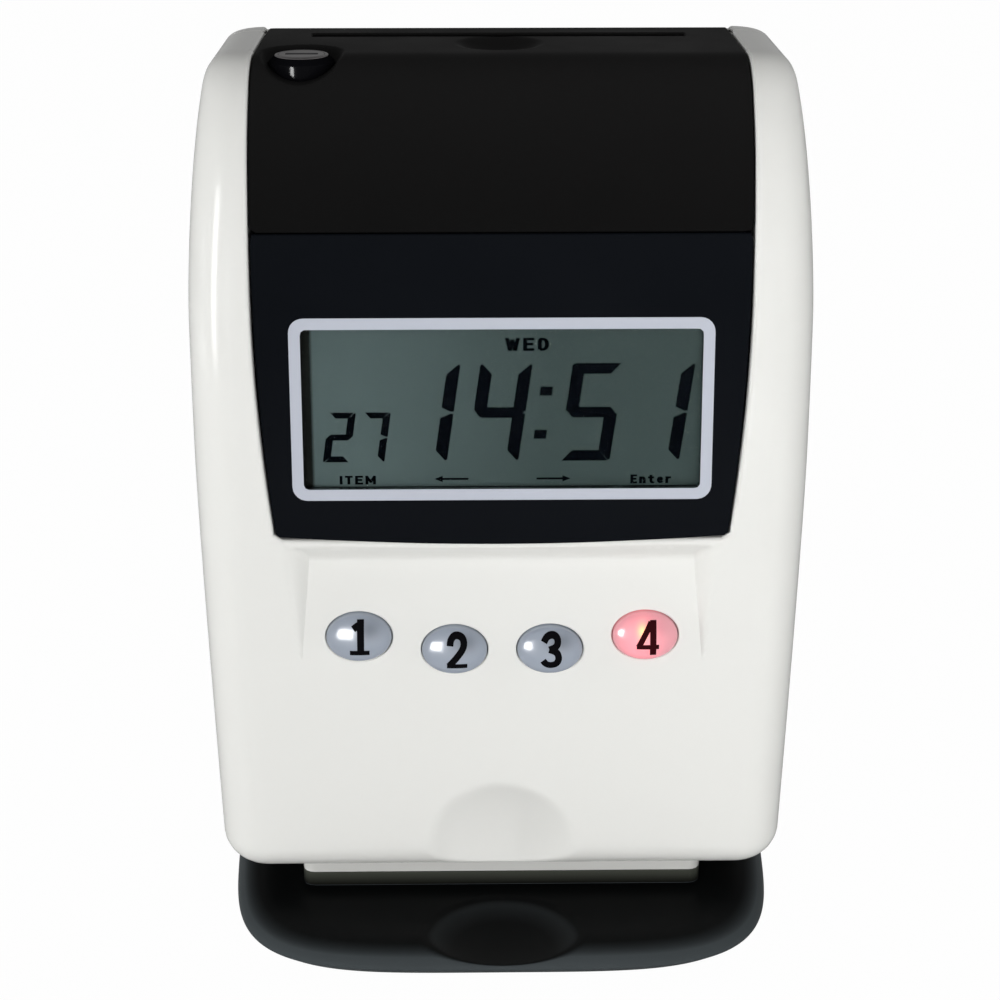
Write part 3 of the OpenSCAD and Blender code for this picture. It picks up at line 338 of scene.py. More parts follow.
def make_object(name, build, material, body, replaces=()):
    """A piece of the clock from a Build, in place and riding its body."""
    points = np.concatenate(build.points) * MM
    mesh = bpy.data.meshes.new(name)
    mesh.from_pydata(points.tolist(), [], build.faces)
    mesh.polygons.foreach_set("use_smooth", [True] * len(mesh.polygons))
    mesh.normals_split_custom_set_from_vertices(unit_rows(np.concatenate(build.normals)).tolist())
    mesh.materials.append(material)
    obj = bpy.data.objects.new(name, mesh)
    bpy.context.scene.collection.objects.link(obj)
    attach(obj, body)
    if replaces:
        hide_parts(*replaces)
    return obj


def surface_normals(surface, s, t, h=0.05):
    """Outward normals of a surface, from small steps of its parameters."""
    du = surface(s + h, t) - surface(s - h, t)
    dv = surface(s, t + h) - surface(s, t - h)
    return unit_rows(np.cross(du, dv))


def triangulate(outer, holes, seeds):
    """Triangles of a flat region with holes, and the numbers of each loop's points."""
    loops = [outer] + holes
    points, edges, spans, n = [], [], [], 0
    for loop in loops:
        k = len(loop)
        points.extend(loop.tolist())
        edges.extend((n + i, n + (i + 1) % k) for i in range(k))
        spans.append((n, n + k))
        n += k
    keep = inside(seeds, outer)
    for hole in holes:
        keep &= ~inside(seeds, hole)
    seeds = seeds[keep]
    rim = np.array(points)
    gap = np.concatenate([np.linalg.norm(loop - np.roll(loop, -1, axis=0), axis=1) for loop in loops])
    far = np.ones(len(seeds), bool)
    for spot, space in zip(rim, gap):
        near = np.abs(seeds[:, 1] - spot[1]) < SEED_BAND
        far[near] &= np.hypot(*(seeds[near] - spot).T) > min(SEED_CLEAR, SEED_SHARE * space)
    points.extend(seeds[far].tolist())
    verts, _, faces, origin, _, _ = delaunay_2d_cdt([Vector(p) for p in points], edges, [], 0, 1e-6)
    co = np.array([v[:] for v in verts])
    tri = np.array(faces)
    mid = co[tri].mean(axis=1)
    good = inside(mid, outer)
    for hole in holes:
        good &= ~inside(mid, hole)
    back = {}
    for new, olds in enumerate(origin):
        for old in olds:
            back[old] = new
    return co, tri[good], [np.array([back[i] for i in range(a, b)]) for a, b in spans]


def shell(surface, outer, holes, seeds, thickness, lips, inner=True):
    """Closed shell over a region of a surface: rounded lips at every edge and an inner skin.

    surface maps two parameter arrays to points; the first crossed with the second points outwards.
    lips gives a radius, a wall depth and, for a straight hole, its axis, for the outer loop and for each hole.
    """
    outer = turned(outer, True)
    holes = [turned(h, False) for h in holes]
    co, tri, loops = triangulate(outer, holes, seeds)
    s, t = co[:, 0], co[:, 1]
    p, n = surface(s, t), surface_normals(surface, s, t)
    build = Build()
    top = build.add(p, n)
    for f in top[tri]:
        build.face(f)
    depth = thickness(p) if callable(thickness) else np.full(len(p), thickness)
    if inner:
        under = build.add(p - n * depth[:, None], -n)
        for f in under[tri]:
            build.face(f[::-1])
    for loop, lip in zip(loops, lips):
        radius, reach, *axis = lip(co[loop]) if callable(lip) else lip
        radius = np.broadcast_to(np.asarray(radius, float), len(loop))[:, None]
        lp, ln = p[loop], n[loop]
        tangent = unit_rows(np.roll(lp, -1, axis=0) - np.roll(lp, 1, axis=0))
        away = unit_rows(np.cross(tangent, ln))
        row, steps = top[loop], 4
        mid = lp - ln * radius
        for k in range(1, steps + 1):
            a = math.pi / 2 * k / steps
            d = ln * math.cos(a) + away * math.sin(a)
            new = build.add(mid + d * radius, d)
            build.strip(new, row)
            row = new
        fall = depth[loop] if reach is None else np.full(len(loop), reach)
        down = np.tile(axis[0], (len(loop), 1)) if axis else ln
        end = mid + away * radius - down * np.maximum(fall[:, None] - radius, 0.05)
        new = build.add(end, away)
        build.strip(new, row)
        if not inner:
            cap = build.add(end, -down if loop is loops[0] else down)
            build.face(cap[::-1])
            continue
        foot, rim = build.add(end, -down), under[loop]
        if reach is not None:
            back = end - away * radius
            build.strip(build.add((p - n * depth[:, None])[loop], -away), build.add(back, -away))
            rim = build.add(back, -down)
        build.strip(rim, foot)
    return build


def grid_seeds(lo, hi, step):
    """Staggered points over a box."""
    rows = np.arange(lo[1], hi[1], step[1])
    out = []
    for k, y in enumerate(rows):
        xs = np.arange(lo[0] + (0.5 * step[0] if k % 2 else 0), hi[0], step[0])
        out.append(np.stack([xs, np.full(len(xs), y)], axis=1))
    return np.concatenate(out)


def ring_seeds(loop, offsets):
    """Copies of a loop grown about its middle by each offset."""
    mid = loop.mean(axis=0)
    away = unit_rows(loop - mid)
    return np.concatenate([loop + away * o for o in offsets])


# Form of the housing

def corner_cut(t, n):
    """Share of a superellipse corner that is cut away at height share t."""
    return 1 - np.maximum(0, 1 - np.clip(t, 0, 1) ** n) ** (1 / n)


class HousingForm:
    """The housing's outside as a surface of a width along the section and a height along the profile."""

    def __init__(self, h):
        self.h = h
        self.base = h.top - h.crown_rise + 2
        self.arc = h.rim_edge * math.pi / 2
        self.t1 = self.arc + self.base - h.rim - h.rim_edge
        self.t2 = self.t1 + (h.top - self.base) * math.pi / 2
        self.land = h.width / 2 - h.shoulder - h.opening
        # Half width and height of the key field at its lower edge, its upper edge and its outer step
        self.lo, self.hi, self.out = (50.5, 80.5), (48.1, 107.0), (56.0, 112.0)

    def half(self, z):
        h = self.h
        return (h.width / 2 - h.draft * np.clip((h.waist - z) / (h.waist - h.rim), 0, 1) ** 1.33
                - (h.shoulder - h.brow) * corner_cut((z - h.top + h.shoulder_rise) / h.shoulder_rise, 1.41)
                - h.brow * corner_cut((z - h.top + h.brow_rise) / h.brow_rise, 3.2))

    def front(self, z, off=0.0):
        h = self.h
        return h.front + off + h.crown * corner_cut((z - h.top + h.crown_rise) / (h.crown_rise - off), 2.45)

    def back(self, z):
        h = self.h
        return h.back - h.nape * corner_cut((z - h.top + h.nape_rise) / h.nape_rise, 2.0)

    def level(self, t):
        """Height and inset at a place along the profile, and how far the top land is closed."""
        h = self.h
        a = np.clip(t, 0, self.arc) / h.rim_edge
        z = h.rim + h.rim_edge * (1 - np.cos(a))
        cut = h.rim_edge * (1 - np.sin(a)) + np.maximum(0, -t)
        z = z + np.clip(t - self.arc, 0, self.t1 - self.arc)
        b = np.clip((t - self.t1) / (self.t2 - self.t1), 0, 1) * math.pi / 2
        z = z + (h.top - self.base) * np.sin(b)
        return z, cut, np.clip((t - self.t2) / self.land, 0, 1)

    def place(self, z):
        """Place along the profile at a height on the upright part."""
        h = self.h
        z = np.asarray(z, float)
        low = self.arc + z - h.rim - h.rim_edge
        high = self.t1 + np.arcsin(np.clip((z - self.base) / (h.top - self.base), 0, 1)) * (h.top - self.base)
        return np.where(z <= self.base, low, high)

    def lay(self, loop):
        """A loop drawn in width and height, as places on the surface."""
        return np.stack([loop[:, 0], self.place(loop[:, 1])], axis=1)

    def field_edge(self, z):
        """Half width of the key field at a height."""
        return self.lo[0] + (self.hi[0] - self.lo[0]) * (z - self.lo[1]) / (self.hi[1] - self.lo[1])

    def ring(self, t):
        h = self.h
        z, cut, closed = self.level(t)
        hx = self.half(z) - cut
        r = np.maximum(0.8, np.minimum(h.edge, self.half(z) - h.opening - 0.4) - cut)
        return z, cut, closed, hx, r

    def wrap(self, s, t, y_face, way):
        """Point on the section: along the face, round the corner and along the side."""
        z, cut, closed, hx, r = self.ring(t)
        side = np.sign(s)
        s = np.abs(s)
        face = y_face + way * cut
        flat = hx - r
        a = np.clip((s - flat) / r, 0, math.pi / 2)
        x = np.minimum(s, flat) + r * np.sin(a)
        y = face + way * (r * (1 - np.cos(a)) + np.maximum(0, s - flat - r * math.pi / 2))
        x = x + (self.h.opening - x) * closed
        return side * x, y, z

    def features(self, x, y, z):
        """Sinks the key field and the finger scoop into the front."""
        h = self.h
        ax = np.sqrt(x * x + 0.01)
        slope = h.well / (self.hi[1] - self.lo[1])
        floor = slope * (z - self.lo[1])
        step = h.well * (1 - (z - self.hi[1]) / (self.out[1] - self.hi[1]))
        fall = (h.well + slope * (self.out[1] - self.hi[1])) / (self.out[0] - self.hi[0] + 0.4)
        climb = np.clip((ax - self.field_edge(z)) * fall / np.maximum(floor, 0.02), 0, 1)
        deep = smooth_min(np.where(floor > 0, floor * (1 - climb) ** 2, floor), step, 1.4)
        y = smooth_max(y, h.front + deep, 0.7)
        ball = dish_radius(h.scoop, h.scoop_depth)
        dz = z - (h.rim + h.scoop / 2 - 0.75)
        dish = h.front + h.scoop_depth - ball + np.sqrt(np.maximum(0, ball ** 2 - x ** 2 - dz ** 2))
        near = x ** 2 + dz ** 2 < SCOOP_FIELD ** 2
        return x, smooth_max(y, np.where(near, dish, -NO_CUT), 1.1), z

    def front_surface(self, s, t):
        z = self.level(t)[0]
        x, y, z = self.wrap(s, t, self.front(z), 1)
        return np.stack(self.features(x, y, z), axis=1)

    def back_surface(self, s, t):
        z = self.level(t)[0]
        x, y, z = self.wrap(s, t, self.back(z), -1)
        return np.stack([-x, y, z], axis=1)

    def side_end(self, t, y_face, way, y_end):
        """Where along the section the side meets the parting plane."""
        z, cut, _, hx, r = self.ring(t)
        return hx - r + r * math.pi / 2 + np.abs(y_end - (y_face(z) + way * (cut + r)))

    def skin(self, p):
        """Wall thickness: thinner in the narrow top of the shoulders."""
        h = self.h
        return np.where(p[:, 2] > h.top - 14, np.maximum(1.0, h.wall * (h.top - p[:, 2]) / 14), h.wall)


def panel_half(p, w, cover_half):
    """Half width of the panel at a height above its foot."""
    return cover_half - p.draw * np.clip((p.bend - w) / p.bend, 0, 1) ** 2


def key_places():
    """Middle of each key, across and up."""
    k = sizes("clock_keys")
    return [((i - 1.5) * k.pitch, k.level - (k.bow if i in (1, 2) else 0)) for i in range(4)]


def ellipse_loop(cx, cy, rx, ry, count=64):
    a = np.linspace(0, 2 * math.pi, count, endpoint=False)
    return np.stack([cx + rx * np.cos(a), cy + ry * np.sin(a)], axis=1)


# Finishes

def new_shader(name):
    """A material with a Principled shader, and its tree, shader and output."""
    mat = bpy.data.materials.new("finish_" + name)
    mat.use_nodes = True
    tree = mat.node_tree
    tree.nodes.clear()
    out = tree.nodes.new("ShaderNodeOutputMaterial")
    bsdf = tree.nodes.new("ShaderNodeBsdfPrincipled")
    tree.links.new(bsdf.outputs["BSDF"], out.inputs["Surface"])
    return mat, tree, bsdf, out


def feed(tree, socket, value):
    """Links or sets a socket."""
    if isinstance(value, bpy.types.NodeSocket):
        tree.links.new(value, socket)
    elif value is not None:
        socket.default_value = value


def add(tree, kind, *sockets, **values):
    """A shader node: plain sockets in order, settings in small letters and named sockets in capitals."""
    node = tree.nodes.new("ShaderNode" + kind)
    for key, value in values.items():
        if key[0].islower():
            setattr(node, key, value)
    for socket, value in zip(node.inputs, sockets):
        feed(tree, socket, value)
    for key, value in values.items():
        if not key[0].islower():
            feed(tree, node.inputs[key.replace("_", " ")], value)
    return node


def mix_colour(tree, factor, a, b):
    node = tree.nodes.new("ShaderNodeMix")
    node.data_type = "RGBA"
    feed(tree, node.inputs[0], factor)
    feed(tree, node.inputs[6], (*a, 1) if isinstance(a, tuple) else a)
    feed(tree, node.inputs[7], (*b, 1) if isinstance(b, tuple) else b)
    return node.outputs[2]


def spread(tree, value, low, high, to_low, to_high):
    return add(tree, "MapRange", value, low, high, to_low, to_high).outputs[0]


def noise(tree, place, size, detail):
    """Noise with patches of about a size in millimetres."""
    return add(tree, "TexNoise", Vector=place, Scale=1 / (size * MM), Detail=detail).outputs["Fac"]


def facing_up(tree):
    """How far the surface faces upwards."""
    return add(tree, "SeparateXYZ", add(tree, "NewGeometry").outputs["Normal"]).outputs["Z"]


def times(rgb, k):
    return tuple(min(1.0, c * k) for c in rgb)


def moulded(name, rgb, rough, grain=0.35, bump=0.04, vary=0.05, tint=0.03, metal=0.0, wear=0.0, worn=None,
            specular=0.5, ior=1.45, stretch=None, extra=None):
    """Moulded, plated or rubber finish: fine grain, uneven gloss and colour, and edges that are worn."""
    mat = bpy.data.materials.get("finish_" + name)
    if mat:
        return mat
    mat, tree, bsdf, _ = new_shader(name)
    rgb = tuple(rgb)
    place = add(tree, "TexCoord").outputs["Object"]
    drawn = add(tree, "Mapping", place, Scale=stretch).outputs[0] if stretch else place
    fine, broad = noise(tree, drawn, grain, 2.0), noise(tree, place, 24, 3.0)
    colour = mix_colour(tree, broad, times(rgb, 1 - tint), times(rgb, 1 + tint))
    gloss = spread(tree, broad, 0.3, 0.7, max(0.02, rough - vary), rough + vary)
    if wear:
        round_off = add(tree, "Bevel", samples=4, Radius=wear * MM).outputs[0]
        straight = add(tree, "NewGeometry").outputs["Normal"]
        turn = add(tree, "VectorMath", round_off, straight, operation="DOT_PRODUCT").outputs["Value"]
        edge = spread(tree, turn, 0.985, 0.80, 0.0, 1.0)
        patch = spread(tree, noise(tree, place, 3, 3.0), 0.42, 0.62, 0.15, 0.8)
        rub = add(tree, "Math", edge, patch, operation="MULTIPLY").outputs[0]
        colour = mix_colour(tree, rub, colour, tuple(worn or times(rgb, 1.6)))
        dull = add(tree, "Math", rub, 0.12, operation="MULTIPLY").outputs[0]
        gloss = add(tree, "Math", gloss, dull, operation="ADD").outputs[0]
    if extra:
        colour = extra(tree, place, colour)
    ripple = add(tree, "Bump", bump, grain * MM, Height=fine)
    feed(tree, bsdf.inputs["Base Color"], colour)
    feed(tree, bsdf.inputs["Roughness"], gloss)
    feed(tree, bsdf.inputs["Normal"], ripple.outputs[0])
    bsdf.inputs["Metallic"].default_value = metal
    bsdf.inputs["Specular IOR Level"].default_value = specular
    bsdf.inputs["IOR"].default_value = ior
    return mat


def housing_white():
    return moulded("housing_white", finish().white, 0.14, grain=0.5, bump=0.02, vary=0.0, tint=0.0,
                   specular=0.45)


def cover_black():
    """Black of the cover, with a painted reflection that makes it a little paler where it faces up."""
    def crown(tree, place, colour):
        # painted reflection: surfaces that face up are mixed towards a paler black
        up = spread(tree, facing_up(tree), 0.25, 1.0, 0.0, 1.0)
        return mix_colour(tree, up, colour, times(finish().black, 2.2))
    return moulded("cover_black", finish().black, 0.38, grain=0.3, bump=0.03, vary=0.04, tint=0.1, wear=0.4,
                   worn=(0.012, 0.012, 0.012), ior=1.035, extra=crown)


def panel_black():
    return moulded("panel_black", finish().panel, 0.16, grain=0.6, bump=0.01, vary=0.03, tint=0.1, wear=0.35,
                   worn=(0.014, 0.015, 0.018), ior=1.1)


def print_ink():
    return moulded("print_ink", finish().ink, 0.45, grain=0.15, bump=0.05)


def tray_charcoal():
    """Charcoal of the tray, with painted shade: darkest on its up-facing deck, and darkest at the foot of the
    raised seat, paler towards its top.
    """
    def painted_tray_shade(tree, place, colour):
        height = add(tree, "SeparateXYZ", place).outputs["Z"]
        # painted shade up the raised seat: nearly black at its foot, paler towards its top
        climb = spread(tree, height, 0.0112, 0.0149, 0.0, 1.0)
        seat = mix_colour(tree, climb, (0.004, 0.004, 0.0035), (0.057, 0.061, 0.050))
        rim = mix_colour(tree, spread(tree, height, 0.0110, 0.0112, 0.0, 1.0), colour, seat)
        # painted shade on the deck: surfaces that face up are darkened
        deck = spread(tree, facing_up(tree), 0.82, 0.972, 0.0, 1.0)
        return mix_colour(tree, deck, rim, times(finish().tray, 0.054))
    return moulded("tray_charcoal", finish().tray, 0.34, grain=0.3, bump=0.05, vary=0.04, tint=0.06, ior=1.12,
                   extra=painted_tray_shade)


def lock_black():
    """Black of the lock's collar, with no gloss where it faces up."""
    mat = moulded("lock_black", (0.004, 0.004, 0.005), 0.12, grain=0.4, bump=0.01, vary=0.02, tint=0.1,
                  ior=1.12)
    tree = mat.node_tree
    sheen = spread(tree, facing_up(tree), 0.1, 0.35, 0.5, 0.0)
    feed(tree, tree.nodes["Principled BSDF"].inputs["Specular IOR Level"], sheen)
    return mat


def lock_face():
    return moulded("lock_face", (0.22, 0.21, 0.212), 0.34, grain=0.12, bump=0.10, vary=0.06, tint=0.06,
                   metal=1.0, wear=0.25, worn=(0.75, 0.74, 0.72), stretch=(0.08, 1, 1))


SLOT_FINISH = {
    "foot_rubber": dict(rgb=(0.018, 0.018, 0.018), rough=0.75, grain=0.25, bump=0.2, wear=0.5,
                        worn=(0.05, 0.05, 0.048)),
    "screw_steel": dict(rgb=(0.58, 0.58, 0.57), rough=0.32, grain=0.1, bump=0.08, metal=1.0, wear=0.2,
                        worn=(0.8, 0.8, 0.78)),
    "lock_steel": dict(rgb=(0.52, 0.50, 0.48), rough=0.28, grain=0.1, bump=0.08, metal=1.0, wear=0.2,
                       worn=(0.8, 0.78, 0.75)),
    "board_green": dict(rgb=(0.012, 0.10, 0.035), rough=0.38, grain=0.8, bump=0.12, tint=0.18),
    "part_black": dict(rgb=(0.012, 0.012, 0.013), rough=0.48, grain=0.2, bump=0.12, wear=0.3,
                       worn=(0.06, 0.06, 0.06)),
    "lamp_red": dict(rgb=(0.55, 0.03, 0.02), rough=0.15, grain=0.5, bump=0.02),
    "frame_steel": dict(rgb=(0.55, 0.56, 0.57), rough=0.36, grain=0.12, bump=0.10, metal=1.0,
                        stretch=(1, 1, 0.06), wear=0.3, worn=(0.78, 0.78, 0.78)),
    "guide_grey": dict(rgb=(0.10, 0.105, 0.11), rough=0.45, grain=0.3, bump=0.12, wear=0.5,
                       worn=(0.2, 0.2, 0.2)),
    "shaft_steel": dict(rgb=(0.66, 0.66, 0.66), rough=0.22, grain=0.08, bump=0.08, metal=1.0,
                        stretch=(0.05, 1, 1)),
    "roller_rubber": dict(rgb=(0.022, 0.022, 0.022), rough=0.7, grain=0.2, bump=0.25, wear=0.4,
                          worn=(0.07, 0.07, 0.07)),
    "ribbon_ink": dict(rgb=(0.008, 0.008, 0.011), rough=0.6, grain=0.12, bump=0.3, tint=0.2),
    "gear_white": dict(rgb=(0.72, 0.71, 0.66), rough=0.42, grain=0.3, bump=0.06, wear=0.3,
                       worn=(0.6, 0.58, 0.52)),
    "bush_brass": dict(rgb=(0.72, 0.48, 0.18), rough=0.3, grain=0.1, bump=0.1, metal=1.0, wear=0.2,
                       worn=(0.9, 0.7, 0.35)),
    "motor_grey": dict(rgb=(0.40, 0.40, 0.41), rough=0.35, grain=0.12, bump=0.08, metal=1.0,
                       stretch=(1, 1, 0.1), wear=0.3, worn=(0.6, 0.6, 0.6)),
    "cell_blue": dict(rgb=(0.02, 0.07, 0.26), rough=0.3, grain=0.5, bump=0.03, wear=0.3,
                      worn=(0.3, 0.34, 0.4)),
}


def slot_finish(slot):
    """The finish of one of the record's material slots."""
    own = {"shell_white": housing_white, "cover_black": cover_black, "panel_black": panel_black,
           "tray_charcoal": tray_charcoal}
    if slot in own:
        return own[slot]()
    return moulded(slot, **SLOT_FINISH[slot])


def lens_clear():
    """Clear window that lets the lamps through to the display."""
    mat, tree, bsdf, out = new_shader("lens_clear")
    bsdf.inputs["Base Color"].default_value = (0.94, 0.96, 0.95, 1)
    bsdf.inputs["Transmission Weight"].default_value = 1.0
    bsdf.inputs["IOR"].default_value = 1.03
    place = add(tree, "TexCoord").outputs["Object"]
    haze = noise(tree, place, 14, 3.0)
    feed(tree, bsdf.inputs["Roughness"], spread(tree, haze, 0.3, 0.7, 0.0, 0.006))
    clear = add(tree, "BsdfTransparent", (0.95, 0.96, 0.96, 1))
    path = add(tree, "LightPath")
    choose = add(tree, "MixShader", path.outputs["Is Shadow Ray"], bsdf.outputs[0], clear.outputs[0])
    tree.links.new(choose.outputs[0], out.inputs["Surface"])
    return mat


def lcd_grey():
    """Reflective display: a grey green field, bluer at the left, with a dark strip at its left end."""
    def field(tree, place, colour):
        across = add(tree, "SeparateXYZ", place).outputs["X"]
        far = mix_colour(tree, 0.42, colour, (0.0, 0.003, 0.0))
        tone = mix_colour(tree, spread(tree, across, -0.035, 0.012, 0.0, 1.0), colour, far)
        # darkens a narrow strip at the left end of the field
        left_dark_strip = spread(tree, across, -0.0466, -0.0458, 1.0, 0.0)
        return mix_colour(tree, left_dark_strip, tone, (0.0078, 0.0088, 0.0078))
    return moulded("lcd_grey", finish().lcd, 0.5, grain=0.18, bump=0.03, tint=0.04, ior=1.03, extra=field)


def lcd_segment():
    return moulded("lcd_segment", (0.0012, 0.0018, 0.003), 0.5, grain=0.2, bump=0.03, tint=0.15, ior=1.03)


def key_finish(name, rgb, lit):
    """Domed key, a little darker in one upper corner from painted shade, with the lamp's glow in the lit one.
    """
    mat, tree, bsdf, _ = new_shader(name)
    dusk = add(tree, "Attribute", attribute_name="dusk").outputs["Fac"]
    glow = add(tree, "Attribute", attribute_name="glow").outputs["Fac"]
    place = add(tree, "TexCoord").outputs["Object"]
    cloud, fine = noise(tree, place, 5, 2.0), noise(tree, place, 0.4, 2.0)
    body = mix_colour(tree, cloud, times(rgb, 0.98), times(rgb, 1.02))
    # painted shade: the upper corner patch darkens the key's colour
    colour = mix_colour(tree, dusk, body, times(rgb, 0.8 if lit else 0.45))
    feed(tree, bsdf.inputs["Base Color"], colour)
    feed(tree, bsdf.inputs["Roughness"], spread(tree, cloud, 0.3, 0.7, 0.2, 0.24))
    feed(tree, bsdf.inputs["Normal"], add(tree, "Bump", 0.02, 0.4 * MM, Height=fine).outputs[0])
    bsdf.inputs["Coat Weight"].default_value = 1.0
    bsdf.inputs["Coat Roughness"].default_value = 0.15
    if lit:
        warm = add(tree, "Attribute", attribute_name="warm").outputs["Fac"]
        hot = mix_colour(tree, glow, (0.90, 0.06, 0.10), (1.0, 0.42, 0.05))
        lamp_on = add(tree, "Math", spread(tree, warm, 0.0, 1.0, 0.0, 0.68),
                      spread(tree, glow, 0.0, 1.0, 0.0, 0.85), operation="ADD").outputs[0]
        feed(tree, bsdf.inputs["Emission Color"], hot)
        feed(tree, bsdf.inputs["Emission Strength"], lamp_on)
    return mat


def key_print(name, rgb):
    return moulded(name, rgb, 0.5, grain=0.15, bump=0.03, tint=0.1, ior=1.08)


# Pieces of the housing

def strip_bar(build, path, normal, x0, x1, top, deep):
    """Closed bar along a side view path: between two widths and two depths below the surface."""
    p, n = np.asarray(path, float), unit_rows(np.asarray(normal, float))
    corners = [(x0, top), (x1, top), (x1, deep), (x0, deep)]
    if x1 < x0:
        corners = corners[::-1]
    rows = [np.stack([np.full(len(p), x), p[:, 0] - n[:, 0] * d, p[:, 1] - n[:, 1] * d], axis=1)
            for x, d in corners]
    for i in range(4):
        j = (i + 1) % 4
        across = unit_rows(rows[j] - rows[i])
        out = unit_rows(np.cross(np.gradient(rows[i], axis=0), across))
        build.strip(build.add(rows[i], out), build.add(rows[j], out), False)
    for k, way in ((0, -1), (len(p) - 1, 1)):
        quad = np.array([r[k] for r in rows])
        facing = np.cross(quad[1] - quad[0], quad[2] - quad[1])
        ids = build.add(quad, np.repeat([way * unit_rows(facing)], 4, axis=0))
        build.face(ids if way > 0 else ids[::-1])


def ledges(build, path, opening, wide, top, deep):
    """A bar along each side of the opening, under its edge."""
    along = np.gradient(path, axis=0)
    normal = np.stack([-along[:, 1], along[:, 0]], axis=1)
    for side in (-1, 1):
        strip_bar(build, path, normal, side * opening, side * (opening + wide), top, deep)


def rod_lathe(build, centre, axis, profile, count=48, phase=0.0):
    """Turned solid: profile points are radius and distance along the axis.

    An edge is hard where a point repeats.
    """
    axis = np.asarray(axis, float)
    u = unit_rows(np.cross(axis, [0.0, 0.0, 1.0]) if abs(axis[2]) < 0.9 else np.cross(axis, [0.0, 1.0, 0.0]))
    v = np.cross(axis, u)
    a = np.linspace(0, 2 * math.pi, count, endpoint=False) + phase
    round_about = np.outer(np.cos(a), u) + np.outer(np.sin(a), v)
    prof = np.asarray(profile, float)
    last = None
    for k in range(len(prof)):
        r, d = prof[k]
        prev = prof[k - 1] if k and not np.allclose(prof[k - 1], prof[k]) else None
        nxt = prof[k + 1] if k + 1 < len(prof) and not np.allclose(prof[k + 1], prof[k]) else None
        lo, hi = (prev if prev is not None else prof[k]), (nxt if nxt is not None else prof[k])
        dr, dd = hi - lo
        normal = unit_rows(round_about * dd - axis * dr) if (abs(dr) + abs(dd)) > 1e-9 else round_about
        points = np.asarray(centre) + round_about * max(r, 1e-4) + axis * d
        row = build.add(points, normal)
        if last is not None and prev is not None:
            build.strip(last, row)
        if r < 0.05 and k in (0, len(prof) - 1):
            build.face(row if k else row[::-1])
        last = row
    return build


def prism(build, outline, z0, z1, r, steps=4):
    """Upright plate from a flat outline with rounded upper and lower edges."""
    loop = turned(outline, True)
    tangent = unit_rows(np.roll(loop, -1, axis=0) - np.roll(loop, 1, axis=0))
    away = np.stack([tangent[:, 1], -tangent[:, 0]], axis=1)
    rows = []
    for z, way in ((z0, -1), (z1, 1)):
        arc = []
        for k in range(steps + 1):
            a = math.pi / 2 * k / steps
            flat = loop - away * r * (1 - math.sin(a))
            points = np.column_stack([flat, np.full(len(loop), z - way * r * (1 - math.cos(a)))])
            normal = np.column_stack([away * math.sin(a), np.full(len(loop), way * math.cos(a))])
            arc.append(build.add(points, normal))
        rows.append(arc)
    chain = rows[0] + rows[1][::-1]
    for a, b in zip(chain, chain[1:]):
        build.strip(a, b)
    for way, z in ((-1, z0), (1, z1)):
        points = np.column_stack([loop - away * r, np.full(len(loop), z)])
        cap = build.add(points, np.tile([0.0, 0.0, way], (len(loop), 1)))
        build.face(cap if way > 0 else cap[::-1])
    return build


def profile_places(form, lip):
    """Places along the profile for the points of an upright edge, from the underside to the top land."""
    return np.concatenate([np.linspace(UNDER_EDGE, 0, 4), np.linspace(0, form.arc, 10)[1:],
                           np.arange(form.arc + 2.5, form.t2, 2.5),
                           [form.t2, form.t2 + 0.5 * (form.land - lip), form.t2 + form.land - lip]])


def bottom_row(reach):
    """Points along the lower edge."""
    return np.array([[s, UNDER_EDGE] for s in np.linspace(-reach, reach, 90)])


def front_loop(form, lip, seam):
    """Edge of the front half: round the bottom and sides, and round the opening for panel and cover."""
    h, p, c = form.h, sizes("clock_panel"), sizes("clock_cover")
    ts = profile_places(form, lip)
    right = np.stack([form.side_end(ts, form.front, 1, h.parting - seam), ts], axis=1)
    foot = panel_half(p, 0.0, c.half) + OPENING_GAP + lip
    xs = np.linspace(foot, -foot, 45)
    low = np.stack([xs, p.foot - OPENING_GAP - lip - p.sag * (1 - (xs / foot) ** 2)], axis=1)
    upper = form.level(np.linspace(form.place(h.top - 0.02), form.place(c.seam), 60))[0]
    zs = np.concatenate([upper[:-1], np.linspace(c.seam, p.foot + 0.25, 36)])
    half = np.where(zs > c.seam, c.half, panel_half(p, zs - p.foot, c.half)) + OPENING_GAP + lip
    notch = form.lay(np.stack([half, zs], axis=1))
    land = np.array([[s, ts[-1]] for s in np.linspace(right[-1, 0], h.opening + lip, 24)])
    side = np.vstack([right[1:], land[1:], notch])
    return np.vstack([bottom_row(right[0, 0]), side, form.lay(low)[1:-1], side[::-1] * [-1, 1]])


def corner_bands(form, lo, hi):
    """Close seeds round the upright corners."""
    out = []
    for t in np.arange(lo, hi, 2.2):
        *_, hx, r = (float(v) for v in form.ring(np.array(t)))
        out += [(hx - r + r * a, t) for a in np.linspace(-0.1, math.pi / 2 + 0.15, 13)]
    pts = np.array(out)
    return np.vstack([pts, pts * [-1, 1]])


def clear_of_corners(form, seeds):
    """The seeds that lie off the upright corners."""
    *_, hx, r = form.ring(seeds[:, 1])
    wide, start = np.abs(seeds[:, 0]), hx - r
    return seeds[(wide < start - 1.5) | (wide > start + r * 1.75)]


